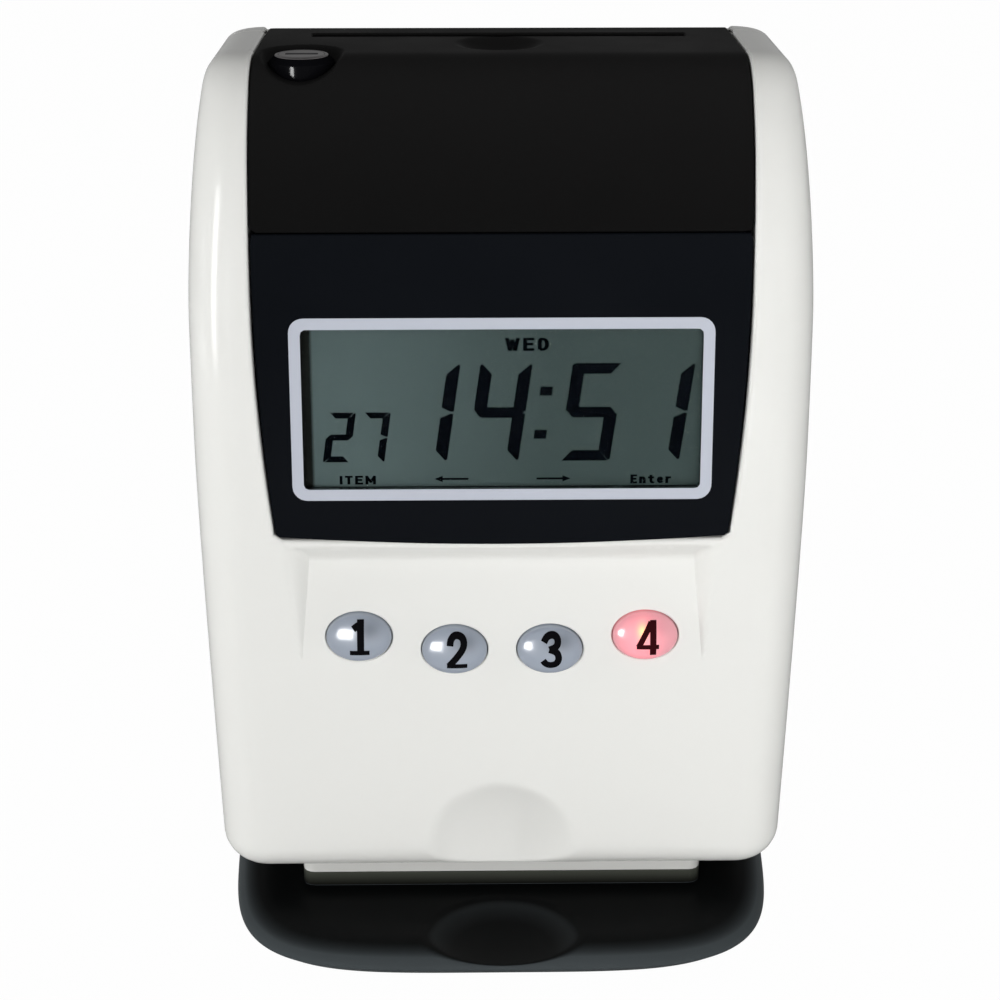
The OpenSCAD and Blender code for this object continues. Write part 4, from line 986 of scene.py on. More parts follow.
def front_seeds(form):
    """Seeds of the front half: close in the key field, the scoop, the corners and the rim."""
    lo, hi = -4, form.t2
    well = grid_seeds((-60, form.place(76.0)), (60, form.place(115.0)), (1.1, 1.0))
    scoop = grid_seeds((-24, 0.0), (24, form.place(52.0)), (1.0, 0.9))
    rough = grid_seeds((-130, lo), (130, hi), (3.4, 3.0))
    wide, at = np.abs(rough[:, 0]), rough[:, 1]
    in_well = (wide < 61) & (at > form.place(75.0)) & (at < form.place(116.0))
    in_scoop = (wide < 25) & (at < form.place(53.0))
    rough = clear_of_corners(form, rough[~(in_well | in_scoop)])
    base = grid_seeds((-130, -3.5), (130, form.arc), (2.2, 1.3))
    base = base[np.abs(base[:, 0]) > 25]
    z = np.linspace(form.lo[1] + 1, form.out[1] - 1, 60)
    crease = np.vstack([form.lay(np.stack([side * (form.field_edge(z) + d), z], axis=1))
                        for side in (-1, 1) for d in (-0.25, 0.02, 0.3)])
    return np.vstack([well, crease, scoop, rough, base, corner_bands(form, lo, hi)])


class CLOCK_OT_front_housing(bpy.types.Operator):
    """Build the front half of the housing with its key field and finger scoop"""
    bl_idname = "clock.front_housing"
    bl_label = "Front housing"

    def execute(self, context):
        h, k = sizes("clock_housing"), sizes("clock_keys")
        form = HousingForm(h)
        lip = 0.45
        holes = [form.lay(ellipse_loop(x, z, k.width / 2 + k.gap + lip, k.height / 2 + k.gap + lip, 72))
                 for x, z in key_places()]
        near = [ring_seeds(hole, (0.9, 1.9)) for hole in holes]
        build = shell(form.front_surface, front_loop(form, h.lip, PARTING_SEAM), holes,
                      np.vstack([front_seeds(form)] + near), form.skin,
                      [front_lip(form, h)] + [(lip, None)] * len(holes))
        ledge_foot = 186
        z = ledge_foot + (h.top - ledge_foot) * np.sin(np.linspace(0.05, math.pi / 2, 24))
        flat = [[0, h.top], [12, h.top], [h.parting, h.top]]
        path = np.vstack([np.stack([form.front(z), z], axis=1), flat])
        ledges(build, path, h.opening, 1.9, 1.1, 15.0)
        front = make_object("front_shell", build, housing_white(), "housing", ["front_housing"])
        aim_lamp("edge_strip", [front], "INCLUDE")
        return {"FINISHED"}


def front_lip(form, h):
    """Lip along the front half's edge: round at the opening and sharp at the joint and the bottom."""
    def lip(co):
        opening = (np.abs(co[:, 0]) < h.opening + 2.6) & (co[:, 1] > form.place(100.0))
        opening |= co[:, 1] > form.t2 + 0.2
        return np.where(opening, h.lip, PARTING_SEAM), None
    return lip


class CLOCK_OT_rear_cover(bpy.types.Operator):
    """Build the back half of the housing with its keyholes, screw wells and inlet hole"""
    bl_idname = "clock.rear_cover"
    bl_label = "Rear cover"

    def execute(self, context):
        h = sizes("clock_housing")
        form = HousingForm(h)
        ts = profile_places(form, h.lip)
        right = np.stack([form.side_end(ts, form.back, -1, h.parting + PARTING_SEAM), ts], axis=1)
        zs = np.linspace(h.top - 0.02, h.top - h.nape_rise, 4000)
        cut = form.place(zs[np.argmin(np.abs(form.back(zs) - 43.0 - 0.5))])
        open_x = h.opening + h.lip
        land = np.array([[s, ts[-1]] for s in np.linspace(right[-1, 0], open_x, 10)])
        down = np.stack([np.full(9, open_x), np.linspace(ts[-1], cut, 9)], axis=1)
        across = np.stack([np.linspace(open_x, -open_x, 60), np.full(60, cut)], axis=1)
        side = np.vstack([right[1:], land[1:], down[1:-1]])
        loop = np.vstack([bottom_row(right[0, 0]), side, across, side[::-1] * [-1, 1]])
        holes, lips = self.holes(form)
        rough = clear_of_corners(form, grid_seeds((-130, -4), (130, form.t2), (3.6, 3.2)))
        base = grid_seeds((-130, -3.5), (130, form.arc), (2.4, 1.4))
        nape = grid_seeds((-62, form.place(h.top - h.nape_rise)), (62, cut), (3.0, 1.2))
        near = [ring_seeds(q, (0.8, 1.8)) for q in holes]
        seeds = np.vstack([rough, base, nape, corner_bands(form, -4, form.t2)] + near)

        def edge(co):
            top = (np.abs(co[:, 0]) < h.opening + 2.6) & (co[:, 1] > cut - 0.1)
            top |= co[:, 1] > form.t2 + 0.2
            return np.where(top, h.lip * 0.6, PARTING_SEAM), None
        build = shell(form.back_surface, loop, holes, seeds, form.skin, [edge] + lips)
        path = np.array([[h.parting, h.top], [33, h.top], [36, h.top - 0.2], [40, 225.0], [44, 221.5]])
        ledges(build, path, h.opening, 3.0, 1.2, 12.0)
        make_object("rear_shell", build, housing_white(), "housing", ["rear_cover"])
        return {"FINISHED"}

    def holes(self, form):
        """Keyholes, straight screw wells and the inlet hole, each with its lip."""
        a = np.linspace(math.radians(150), math.radians(390), 40)
        b = np.linspace(0, math.pi, 18)
        keyhole = np.vstack([np.stack([4.8 * np.cos(a), 4.8 * np.sin(a)], axis=1),
                             np.stack([2.5 * np.cos(b), 8 + 2.5 * np.sin(b)], axis=1)])
        holes = [form.lay(keyhole + [x, KEYHOLE_Z]) for x in KEYHOLE_X]
        lips = [(0.3, None)] * len(holes)
        edge = form.h.edge
        flat = form.h.width / 2 - edge
        for x, z in SHELL_SCREWS:
            s = math.copysign(flat + edge * math.asin((abs(x) - flat) / edge), x)
            holes.append(form.lay(ellipse_loop(s, z, 4.3, 4.3, 40)))
            lips.append((0.4, 29.0, (0.0, 1.0, 0.0)))
        inlet = round_corners([(-6.6, -6.6), (6.6, -6.6), (6.6, 6.6), (-6.6, 6.6)], 0.8) + INLET
        holes.append(form.lay(resample(inlet, step=0.9)))
        lips.append((0.3, None))
        return holes, lips


# Pieces of the top cover

class CoverForm:
    """Outside of the top cover as a surface of x and the way along its side view."""

    def __init__(self):
        h, c = sizes("clock_housing"), sizes("clock_cover")
        self.h, self.c = h, c
        form = HousingForm(h)
        b = np.linspace(0, math.pi / 2, 1500)
        z_cover = h.top - c.sink
        z = c.seam + (z_cover - c.seam) * np.sin(b)
        curve = np.stack([form.front(z, c.sink), z], axis=1)
        flat = np.stack([np.linspace(curve[-1, 0], c.hinge_y, 900), np.full(900, z_cover)], axis=1)[1:]
        a = np.linspace(0, math.radians(205), 500)[1:]
        barrel = np.stack([c.hinge_y + c.knuckle * np.sin(a),
                           z_cover - c.knuckle + c.knuckle * np.cos(a)], axis=1)
        self.path = np.vstack([curve, flat, barrel])
        step = np.linalg.norm(np.diff(self.path, axis=0), axis=1)
        self.along = np.concatenate([[0], np.cumsum(step)])
        self.z_cover = z_cover
        self.flat_from = self.at_y(curve[-1, 0])

    def at_y(self, y):
        top = len(self.path) - 500
        return np.interp(y, self.path[:top, 0], self.along[:top])

    def surface(self, x, a):
        c = self.c
        y = np.interp(a, self.along, self.path[:, 0])
        z = np.interp(a, self.along, self.path[:, 1])
        wide, deep = c.lock_collar + 2.0, 5.4
        ball = dish_radius(wide, deep)
        mid = self.z_cover - deep + ball
        dx, dy = x - c.lock_x, np.maximum(0, y - c.lock_y - 3)
        groove = mid - np.sqrt(np.maximum(0.01, ball ** 2 - dx ** 2 - dy ** 2))
        groove = np.where((dx ** 2 + dy ** 2 < ball ** 2 * 0.98) & (z > 200), groove, NO_CUT)
        wide, deep = 10.5, 2.6
        thumb = dish_radius(wide, deep)
        dx, dy = x, y - (c.slot_y - c.slot_gap / 2 - 11)
        scoop = self.z_cover - deep + thumb - np.sqrt(np.maximum(0.01, thumb ** 2 - dx ** 2 - dy ** 2))
        scoop = np.where((dx ** 2 + dy ** 2 < 280) & (z > 200), scoop, NO_CUT)
        z = smooth_min(smooth_min(z, groove, 0.9), scoop, 0.6)
        return np.stack([x, y, z], axis=1)


class CLOCK_OT_top_cover(bpy.types.Operator):
    """Build the hinged top cover with its card slot, thumb scoop and lock groove"""
    bl_idname = "clock.top_cover"
    bl_label = "Top cover"

    def execute(self, context):
        form = CoverForm()
        c = form.c
        lip, end = 0.6, form.along[-1]
        half = c.half - lip
        corners = [(-half, lip), (half, lip), (half, end), (-half, end)]
        loop = resample(round_corners(corners, [0.8, 0.8, 0.2, 0.2]), step=1.5)
        slot_lip, lock_lip = 0.7, 0.3
        y0, y1 = (c.slot_y + s * (c.slot_gap / 2 + slot_lip) for s in (-1, 1))
        slot_x, lock_r = c.slot_half + slot_lip, c.lock_collar + lock_lip
        slot = box_loop(-slot_x, form.at_y(y0), slot_x, form.at_y(y1), 1.0, 1.2)
        lock = ellipse_loop(c.lock_x, float(form.at_y(c.lock_y)), lock_r, lock_r, 72)
        a0, knuckle = form.flat_from, float(form.at_y(c.hinge_y))
        seeds = [grid_seeds((-59, 0), (59, knuckle - 0.8), (2.2, 1.6)),
                 grid_seeds((c.lock_x - 11, a0 - 22), (c.lock_x + 11, a0 + 22), (0.6, 0.55)),
                 grid_seeds((-13, float(form.at_y(1.0))), (13, float(form.at_y(y0))), (0.8, 0.7)),
                 ring_seeds(lock, (0.5, 1.0)),
                 grid_seeds((-59, knuckle), (59, end), (1.5, 0.45))]
        build = shell(form.surface, loop, [slot, lock], np.vstack(seeds), c.thickness,
                      [(lip, None), (slot_lip, None), (lock_lip, None)])
        bore, boss, low, high = c.lock_r + 0.1, c.lock_r + 2.6, 216.2, 219.0
        rod_lathe(build, (c.lock_x, c.lock_y, 0), (0, 0, 1), [
            (bore, low), (bore, low), (c.lock_r + 2.4, low), (boss, low + 0.3), (boss, high), (boss, high),
            (bore, high), (bore, high), (bore, low)])
        make_object("cover_shell", build, cover_black(), "cover", ["top_cover"])
        return {"FINISHED"}


class CLOCK_OT_lock(bpy.types.Operator):
    """Build the key lock: barrel, plated face ring and plug with its keyway"""
    bl_idname = "clock.lock"
    bl_label = "Lock"

    def execute(self, context):
        c = sizes("clock_cover")
        top = sizes("clock_housing").top - c.sink
        centre, up = (c.lock_x, c.lock_y, 0), (0, 0, 1)
        r, bore, out = c.lock_r, c.lock_r - 0.9, c.lock_collar
        low = top - 13.0
        barrel = Build()
        rod_lathe(barrel, centre, up, [
            (bore, low), (bore, low), (r - 0.4, low), (r, low + 0.4), (r, top - 8.0), (r, top - 8.0),
            (out, top - 8.0), (out, top - 8.0), (out, top - 2.0), (out - 0.12, top - 1.6), (r + 0.4, top - 0.8),
            (r + 0.18, top - 0.5), (r - 0.02, top - 0.4), (r - 0.02, top - 0.4), (r - 0.02, top - 0.75),
            (r - 0.02, top - 0.75), (bore, top - 0.75), (bore, top - 0.75), (bore, low)], 96)
        body = make_object("lock_body", barrel, lock_black(), "cover", ["lock_barrel"])
        ring = Build()
        rod_lathe(ring, centre, up, [
            (bore + 0.03, top - 0.8), (r - 0.06, top - 0.8), (r - 0.06, top - 0.8), (r - 0.06, top - 0.35),
            (r - 0.2, top - 0.16), (r - 0.45, top - 0.1), (bore + 0.12, top - 0.1), (bore + 0.03, top - 0.18),
            (bore + 0.03, top - 0.8)], 96)
        make_object("lock_ring", ring, lock_face(), "cover", ())
        self.plug(c, top, bore)
        aim_lamp("lock_glint", [body], "INCLUDE")
        return {"FINISHED"}

    def plug(self, c, top, bore):
        """Turning plug with the dark keyway in its face."""
        r = bore - 0.05
        slot = box_loop(-4.1, -1.2, 4.1, 1.2, 0.4, 0.3)
        plane = lambda s, t: np.stack([c.lock_x + s, c.lock_y + t, np.full(len(s), top - 0.06)], axis=1)
        loop = ellipse_loop(0, 0, r - 0.25, r - 0.25, 96)
        build = shell(plane, loop, [slot], grid_seeds((-6, -6), (6, 6), (0.7, 0.7)), 0.5,
                      [(0.25, 12.6), (0.08, 3.0)], False)
        make_object("lock_core", build, lock_face(), "lock", ["lock_plug"])
        dark = Build()
        prism(dark, slot * 0.97 + [c.lock_x, c.lock_y], top - 0.9, top - 0.07, 0.02)
        make_object("lock_keyway", dark, slot_finish("ribbon_ink"), "lock", ())


# Display

class PanelPlane:
    """The leaning plane of the display panel: x across, w up, depth inwards."""

    def __init__(self):
        h, c, p = sizes("clock_housing"), sizes("clock_cover"), sizes("clock_panel")
        self.p, self.c = p, c
        form = HousingForm(h)
        rise = c.seam - 0.3 - p.foot
        lean = float(form.front(np.array(c.seam), p.sink) - form.front(np.array(p.foot), p.sink))
        self.tilt = math.atan2(lean, rise)
        self.length = rise / math.cos(self.tilt)
        self.y, self.z = h.front + p.sink, p.foot

    def at(self, x, w, depth=0.0):
        s, c = math.sin(self.tilt), math.cos(self.tilt)
        x, w = np.broadcast_arrays(np.asarray(x, float), np.asarray(w, float))
        return np.stack([x, self.y + w * s + depth * c, self.z + w * c - depth * s], axis=-1)

    def sheet(self, depth):
        return lambda s, t: self.at(s, t, depth)

    @property
    def normal(self):
        return np.array([0.0, -math.cos(self.tilt), math.sin(self.tilt)])


def box_loop(x0, y0, x1, y1, r, step=1.5):
    """Even points round a box with rounded corners."""
    return resample(round_corners([(x0, y0), (x1, y0), (x1, y1), (x0, y1)], r), step=step)


class CLOCK_OT_display_panel(bpy.types.Operator):
    """Build the display panel, its window and the printed frame"""
    bl_idname = "clock.display_panel"
    bl_label = "Display panel"

    def execute(self, context):
        plane = PanelPlane()
        p, c = plane.p, plane.c
        lip = 0.6
        w = np.linspace(0.95, plane.length - lip, 50)
        right = np.stack([panel_half(p, w, c.half) - lip, w], axis=1)
        foot = float(panel_half(p, 0.0, c.half)) - lip
        xs = np.linspace(-foot + 0.35, foot - 0.35, 60)
        low = np.stack([xs, lip - p.sag * (1 - (xs / foot) ** 2)], axis=1)
        loop = np.vstack([low, right, right[::-1] * [-1, 1]])
        x, y0, y1 = p.window_w / 2, p.window_at - p.window_h / 2, p.window_at + p.window_h / 2
        hole = box_loop(-x - 0.15, y0 - 0.15, x + 0.15, y1 + 0.15, 0.3)
        seeds = grid_seeds((-60, -3), (60, 76), (4, 4))
        build = shell(plane.sheet(0.0), loop, [hole], seeds, p.thickness, [(lip, None), (0.15, None)])
        make_object("display_plate", build, panel_black(), "housing", ["display_panel"])
        lens = shell(plane.sheet(0.02), box_loop(-x + 0.3, y0 + 0.3, x - 0.3, y1 - 0.3, 0.3), [], seeds, 1.6,
                     [(0.2, None)])
        make_object("display_window", lens, lens_clear(), "housing", ["display_lens"])
        line = p.frame_line
        outer = box_loop(-x - line, y0 - line, x + line, y1 + line, 3.5, 1.0)
        inner = box_loop(-x, y0, x, y1, 1.2, 1.0)
        ink = shell(plane.sheet(-0.03), outer, [inner], grid_seeds((-53, 8), (53, 56), (1.4, 1.4)), 0.06,
                    [(0.02, None), (0.02, None)])
        make_object("printed_frame", ink, print_ink(), "housing", ())
        return {"FINISHED"}


SEGMENTS = {"1": "BC", "2": "ABGED", "4": "FGBC", "5": "AFGCD", "7": "ABC"}


def digit_segments(x0, w0, width, height, tv, th, lean, lit):
    """Outlines of the bars of one display digit."""
    m, f, q = height / 2, tv / 3.15, th / 2
    g, mid = 0.10 * f, 0.22 * f
    wide, high, bar = width, height, tv * 0.6
    shapes = {
        "A": [(0.5 * f, high), (wide - 0.9 * f, high), (wide - tv + g, high - th), (tv - g, high - th)],
        "D": [(tv - g, th), (wide - tv + g, th), (wide - 0.5 * f, 0), (0.9 * f, 0)],
        "G": [(0.55 * f, m), (bar, m + q), (wide - bar, m + q), (wide - 0.55 * f, m), (wide - bar, m - q),
              (bar, m - q)],
        "F": [(0, m + 0.35 * f), (0, high - 0.5 * f), (0.5 * f, high - 0.1 * f), (tv, high - th), (tv, m + q),
              (0.75 * f, m + mid)],
        "E": [(0.75 * f, m - mid), (tv, m - q), (tv, th), (0.5 * f, 0.1 * f), (0, 0.5 * f), (0, m - 0.35 * f)],
        "B": [(wide - 0.75 * f, m + mid), (wide - tv, m + q), (wide - tv, high - th - g),
              (wide - 0.5 * f, high - 0.2 * f), (wide, high - 0.5 * f), (wide, m + 0.35 * f)],
        "C": [(wide, m - 0.35 * f), (wide, 0.5 * f), (wide - 0.5 * f, 0.2 * f), (wide - tv, th + g),
              (wide - tv, m - q), (wide - 0.75 * f, m - mid)],
    }
    return [[(x0 + x + lean * w, w0 + w) for x, w in shapes[key]] for key in lit]


LETTERS = {
    "W": [[(0, 1), (0.25, 0), (0.5, 0.85), (0.75, 0), (1, 1)]],
    "E": [[(1, 1), (0, 1), (0, 0), (1, 0)], [(0, 0.52), (0.85, 0.52)]],
    "D": [[(0, 0), (0, 1), (0.55, 1), (0.9, 0.82), (1, 0.5), (0.9, 0.18), (0.55, 0), (0, 0)]],
    "I": [[(0.5, 0), (0.5, 1)]],
    "T": [[(0, 1), (1, 1)], [(0.5, 1), (0.5, 0)]],
    "M": [[(0, 0), (0, 1), (0.5, 0.25), (1, 1), (1, 0)]],
    "n": [[(0, 0), (0, 0.72)], [(0, 0.48), (0.3, 0.7), (0.7, 0.7), (0.95, 0.5), (0.95, 0)]],
    "t": [[(0.4, 0.95), (0.4, 0.2), (0.6, 0), (0.95, 0.02)], [(0, 0.7), (0.9, 0.7)]],
    "e": [[(0.05, 0.38), (0.95, 0.38), (0.88, 0.6), (0.55, 0.72), (0.2, 0.62), (0.03, 0.36), (0.18, 0.1),
           (0.55, 0), (0.9, 0.1)]],
    "r": [[(0, 0), (0, 0.72)], [(0, 0.45), (0.3, 0.68), (0.75, 0.7)]],
}


def stroke(points, width, cap=0.08):
    """Left and right edges of a line of some width, mitred at its corners and drawn out at its ends."""
    p = np.asarray(points, float)
    d = unit_rows(np.diff(p, axis=0))
    n = np.stack([-d[:, 1], d[:, 0]], axis=1)
    first, last = n[:1], n[-1:]
    mid = n[:-1] + n[1:]
    mid = mid / np.maximum(0.35, np.sum(mid * n[1:], axis=1, keepdims=True))
    out = np.vstack([first, mid, last]) * width / 2
    closed = np.allclose(p[0], p[-1])
    ends = p.copy()
    if not closed:
        ends[0] -= d[0] * width * cap
        ends[-1] += d[-1] * width * cap
    return ends + out, ends - out


def word(text, x0, w0, x1, w1, weight):
    """Strokes of a short word that fills a box."""
    narrow = {"I": 0.35}
    widths = [narrow.get(ch, 1.3 if ch in "WM" else 1.0) for ch in text]
    space, edge, low = 0.28, weight / 2, weight / 3
    k = (x1 - x0) / (sum(widths) + space * (len(text) - 1))
    out, x = [], x0
    for ch, wide in zip(text, widths):
        for line in LETTERS[ch]:
            line = soften(line) if len(line) > 5 or ch in "ntr" else line
            for part in zip(line, line[1:]) if ch in "WM" else [line]:
                out.append(([(x + edge + px * (wide * k - weight), w0 + low + pw * (w1 - w0 - 2 * low))
                             for px, pw in part], weight))
        x += (wide + space) * k
    return out


class CLOCK_OT_display(bpy.types.Operator):
    """Build the display glass with the day, the time and its small words"""
    bl_idname = "clock.display"
    bl_label = "Display"

    def execute(self, context):
        plane = PanelPlane()
        p = plane.p
        depth = p.thickness
        gx, gh = p.window_w / 2 + 1.1, p.window_h / 2 + 1.05
        loop = box_loop(-gx + 0.2, p.window_at - gh + 0.2, gx - 0.2, p.window_at + gh - 0.2, 0.4)
        glass = shell(plane.sheet(depth), loop, [], grid_seeds((-50, 8), (50, 56), (5, 5)), 2.6,
                      [(0.2, None)])
        make_object("display_field", glass, lcd_grey(), "housing", ["lcd_glass"])
        bars = []
        lean = 0.144
        for ch, x0 in (("1", -26.2), ("4", -8.7), ("5", 13.7), ("1", 30.8)):
            bars += digit_segments(x0, 18.55, 12.7, 24.4, 3.15, 2.65, lean, SEGMENTS[ch])
        for ch, x0 in (("2", -43.95), ("7", -35.45)):
            bars += digit_segments(x0, 18.4, 6.6, 12.5, 1.85, 1.5, lean, SEGMENTS[ch])
        for x0, w0 in ((9.1, 34.92), (7.69, 24.13)):
            bars.append([(x0, w0), (x0 + 3.05, w0), (x0 + 3.37, w0 + 2.25), (x0 + 0.32, w0 + 2.25)])
        for tip, tail in ((-16.59, -8.24), (16.86, 8.48)):
            way = math.copysign(1.0, tail - tip)
            bars.append([(tip, 14.05), (tip + way * 2.0, 14.85), (tip + way * 2.0, 13.25)])
            bars.append([(tip + way * 1.9, 13.8), (tail, 13.8), (tail, 14.3), (tip + way * 1.9, 14.3)])
        build = Build()
        for bar in bars:
            self.plate(build, plane, turned(bar, True), depth)
        words = (word("WED", 0.75, 46.0, 11.45, 49.25, 1.0) + word("ITEM", -39.9, 12.75, -31.0, 14.95, 0.72)
                 + word("Enter", 31.6, 12.7, 41.9, 14.95, 0.72))
        for points, weight in words:
            left, right = (side / [1, 1.5] for side in stroke(np.array(points) * [1, 1.5], weight, 0.45))
            for i in range(len(left) - 1):
                quad = turned(np.array([left[i], left[i + 1], right[i + 1], right[i]]), True)
                self.plate(build, plane, quad, depth)
        make_object("display_digits", build, lcd_segment(), "housing", ())
        return {"FINISHED"}

    def plate(self, build, plane, outline, depth):
        """Thin raised bar on the display field."""
        q = np.asarray(outline)
        face = plane.normal
        top = build.add(plane.at(q[:, 0], q[:, 1], depth - 0.06), np.tile(face, (len(q), 1)))
        low = build.add(plane.at(q[:, 0], q[:, 1], depth + 0.02), np.tile(-face, (len(q), 1)))
        build.face(top)
        build.face(low[::-1])
        build.strip(low, top)


# Keys

# Box of each digit on its key, and its strokes as a width and points within that box
KEY_DIGITS = {
    "1": ((-2.18, 2.67, -3.62, 4.98), [
        (1.75, [(0.56, 0.03), (0.56, 0.99)]), (1.6, [(0.56, 0.88), (0.36, 0.83), (0.2, 0.76)]),
        (1.2, [(0.02, 0.06), (0.99, 0.06)])]),
    "2": ((-1.91, 3.15, -3.78, 4.98), [
        (1.68, [(0.16, 0.66), (0.18, 0.80), (0.34, 0.92), (0.56, 0.93), (0.78, 0.87), (0.86, 0.72),
                (0.80, 0.56), (0.52, 0.34), (0.12, 0.08)]),
        (1.15, [(0.02, 0.06), (0.99, 0.06)])]),
    "3": ((-2.22, 2.84, -3.74, 5.04), [
        (1.68, [(0.14, 0.74), (0.26, 0.87), (0.50, 0.93), (0.74, 0.89), (0.84, 0.75), (0.76, 0.60),
                (0.42, 0.53)]),
        (1.68, [(0.42, 0.53), (0.78, 0.46), (0.88, 0.28), (0.78, 0.12), (0.50, 0.07), (0.24, 0.10),
                (0.10, 0.20)])]),
    "4": ((-2.31, 3.29, -4.23, 4.47), [
        (1.45, [(0.10, 0.27), (0.64, 0.94)]), (1.15, [(0.02, 0.26), (0.99, 0.26)]),
        (1.6, [(0.74, 0.02), (0.74, 0.99)])]),
}


def soften(points, rounds=2):
    """Corner cutting that keeps both ends."""
    p = np.asarray(points, float)
    for _ in range(rounds):
        if len(p) < 3:
            return p
        cut = np.empty((2 * len(p) - 2, 2))
        cut[0::2] = p[:-1] * 0.75 + p[1:] * 0.25
        cut[1::2] = p[:-1] * 0.25 + p[1:] * 0.75
        cut[0], cut[-1] = p[0], p[-1]
        p = cut
    return p


def raised_line(build, points, width, place):
    """Closed flat bar along a line, laid on a surface by place(points, height)."""
    left, right = stroke(points, width)
    rows = {}
    for side, edge in (("l", left), ("r", right)):
        for level, height in (("t", 0.07), ("b", -0.05)):
            rows[side + level] = place(edge, height)
    sets = {key: build.add(point, normal if key[1] == "t" else -normal)
            for key, (point, normal) in rows.items()}
    for a, b in (("rt", "lt"), ("lb", "rb"), ("lt", "lb"), ("rb", "rt")):
        build.strip(sets[a], sets[b], False)
    for k, order in ((-1, ("lt", "rt", "rb", "lb")), (0, ("lt", "lb", "rb", "rt"))):
        build.face(sets[key][k] for key in order)


class KeyForm:
    """One domed key at its place, its dome facing a little upwards."""

    def __init__(self, index):
        k, h = sizes("clock_keys"), sizes("clock_housing")
        self.k, self.at = k, key_places()[index]
        self.lean = bpy.context.scene.clock_keys.lean
        self.rx, self.rz = k.width / 2, k.height / 2
        self.edge, self.slope = h.front - 0.1, h.well / 26.5
        self.flange = h.front + h.wall + 2.4

    def ring(self, grow, y, count=96):
        a = np.linspace(0, 2 * math.pi, count, endpoint=False)
        x = self.at[0] + (self.rx * grow) * np.cos(a)
        z = self.at[1] + (self.rz * grow) * np.sin(a)
        return np.stack([x, np.full(count, y), z], axis=1), a

    def depth(self, dx, dz):
        rise = np.sqrt(np.maximum(0.0, 1 - (dx / self.rx) ** 2 - (dz / self.rz) ** 2))
        floor = 0.9 * self.slope * (self.at[1] + dz - 80.5)
        return self.edge + floor - self.k.dome * rise + self.lean * dz * rise

    def on_dome(self, points, height):
        dx, dz = np.asarray(points, float).T
        e = 0.02
        y = self.depth(dx, dz)
        slope_x = (self.depth(dx + e, dz) - self.depth(dx - e, dz)) / (2 * e)
        slope_z = (self.depth(dx, dz + e) - self.depth(dx, dz - e)) / (2 * e)
        normal = unit_rows(np.stack([slope_x, -np.ones(len(dx)), slope_z], axis=1))
        return np.stack([self.at[0] + dx, y, self.at[1] + dz], axis=1) + normal * height, normal


class CLOCK_OT_keys(bpy.types.Operator):
    """Build the four domed keys with their digits"""
    bl_idname = "clock.keys"
    bl_label = "Keys"

    def execute(self, context):
        f = finish()
        plain = key_finish("key_grey", tuple(f.key), False)
        lit = key_finish("key_lit", tuple(f.lit), True)
        black = key_print("key_digit", (0.004, 0.004, 0.005))
        # the lit key's print is dark red: painted glow of the key's lamp showing through it
        dark = key_print("key_digit_lit", (0.035, 0.004, 0.006))
        for i, word_ in enumerate(("one", "two", "three", "four")):
            form = KeyForm(i)
            build = Build()
            rows = []
            wide, f = 1.0 + 1.5 / form.rx, form.flange
            for ends, facing in ((((0.8, f + 1.2), (wide, f + 1.2)), 1), (((wide, f + 1.2), (wide, f)), 0),
                                 (((wide, f), (1.0, f)), -1), (((1.0, f),), 0)):
                band = []
                for grow, y in ends:
                    points, a = form.ring(grow, y)
                    normal = np.tile([0.0, facing, 0.0], (96, 1))
                    if not facing:
                        normal = np.stack([np.cos(a), normal[:, 1], np.sin(a)], axis=1)
                    band.append(build.add(points, normal))
                if len(band) > 1:
                    build.strip(*band)
                rows.append(band)
            back, rows = rows[0][0], [rows[-1][0]]
            for b in np.linspace(0.06, math.pi / 2 - 0.05, 30):
                points, a = form.ring(math.cos(b), form.edge)
                place, normal = form.on_dome(points[:, [0, 2]] - np.asarray(form.at), 0.0)
                rows.append(build.add(place, normal))
            for a, b in zip(rows, rows[1:]):
                build.strip(a, b)
            build.fan(rows[-1], *(v[0] for v in form.on_dome(np.zeros((1, 2)), 0.0)))
            build.fan(back[::-1], (form.at[0], form.flange + 1.2, form.at[1]), (0, 1, 0))
            obj = make_object("key_cap_" + word_, build, lit if i == 3 else plain, "key_" + word_,
                              ["key_%d" % (i + 1)])
            points = np.concatenate(build.points)
            dx, dz = points[:, 0] - form.at[0], points[:, 2] - form.at[1]
            hot = np.exp(-((dx + 0.9) / 1.5) ** 2 - ((dz - 2.1) / 2.2) ** 2)
            red = np.exp(-((dx + 1.0) / 4.6) ** 2 - ((dz + 0.3) / 5.0) ** 2)
            # painted shade: a darker patch in the upper corner of each dome
            dusk = 0.75 * np.exp(-((dx - 2.6) / 3.4) ** 2 - ((dz - 2.6) / 2.3) ** 2)
            for name, values in (("dusk", dusk), ("glow", hot), ("warm", red)):
                layer = obj.data.attributes.new(name, "FLOAT", "POINT")
                layer.data.foreach_set("value", values.astype(np.float32))
            digit = Build()
            (x0, x1, z0, z1), lines = KEY_DIGITS[str(i + 1)]
            for width, line in lines:
                smooth = soften(line) if len(line) > 3 else np.asarray(line, float)
                drawn = smooth * [x1 - x0, z1 - z0] + [x0, z0]
                raised_line(digit, resample(drawn, step=0.3, closed=False), width, form.on_dome)
            make_object("key_digit_" + word_, digit, dark if i == 3 else black, "key_" + word_, ())
        caps = [bpy.data.objects["key_cap_" + w] for w in ("one", "two", "three", "four")]
        aim_lamp("strip_left", caps, "EXCLUDE")
        aim_lamp("key_glint", caps, "INCLUDE")
        return {"FINISHED"}


# Base

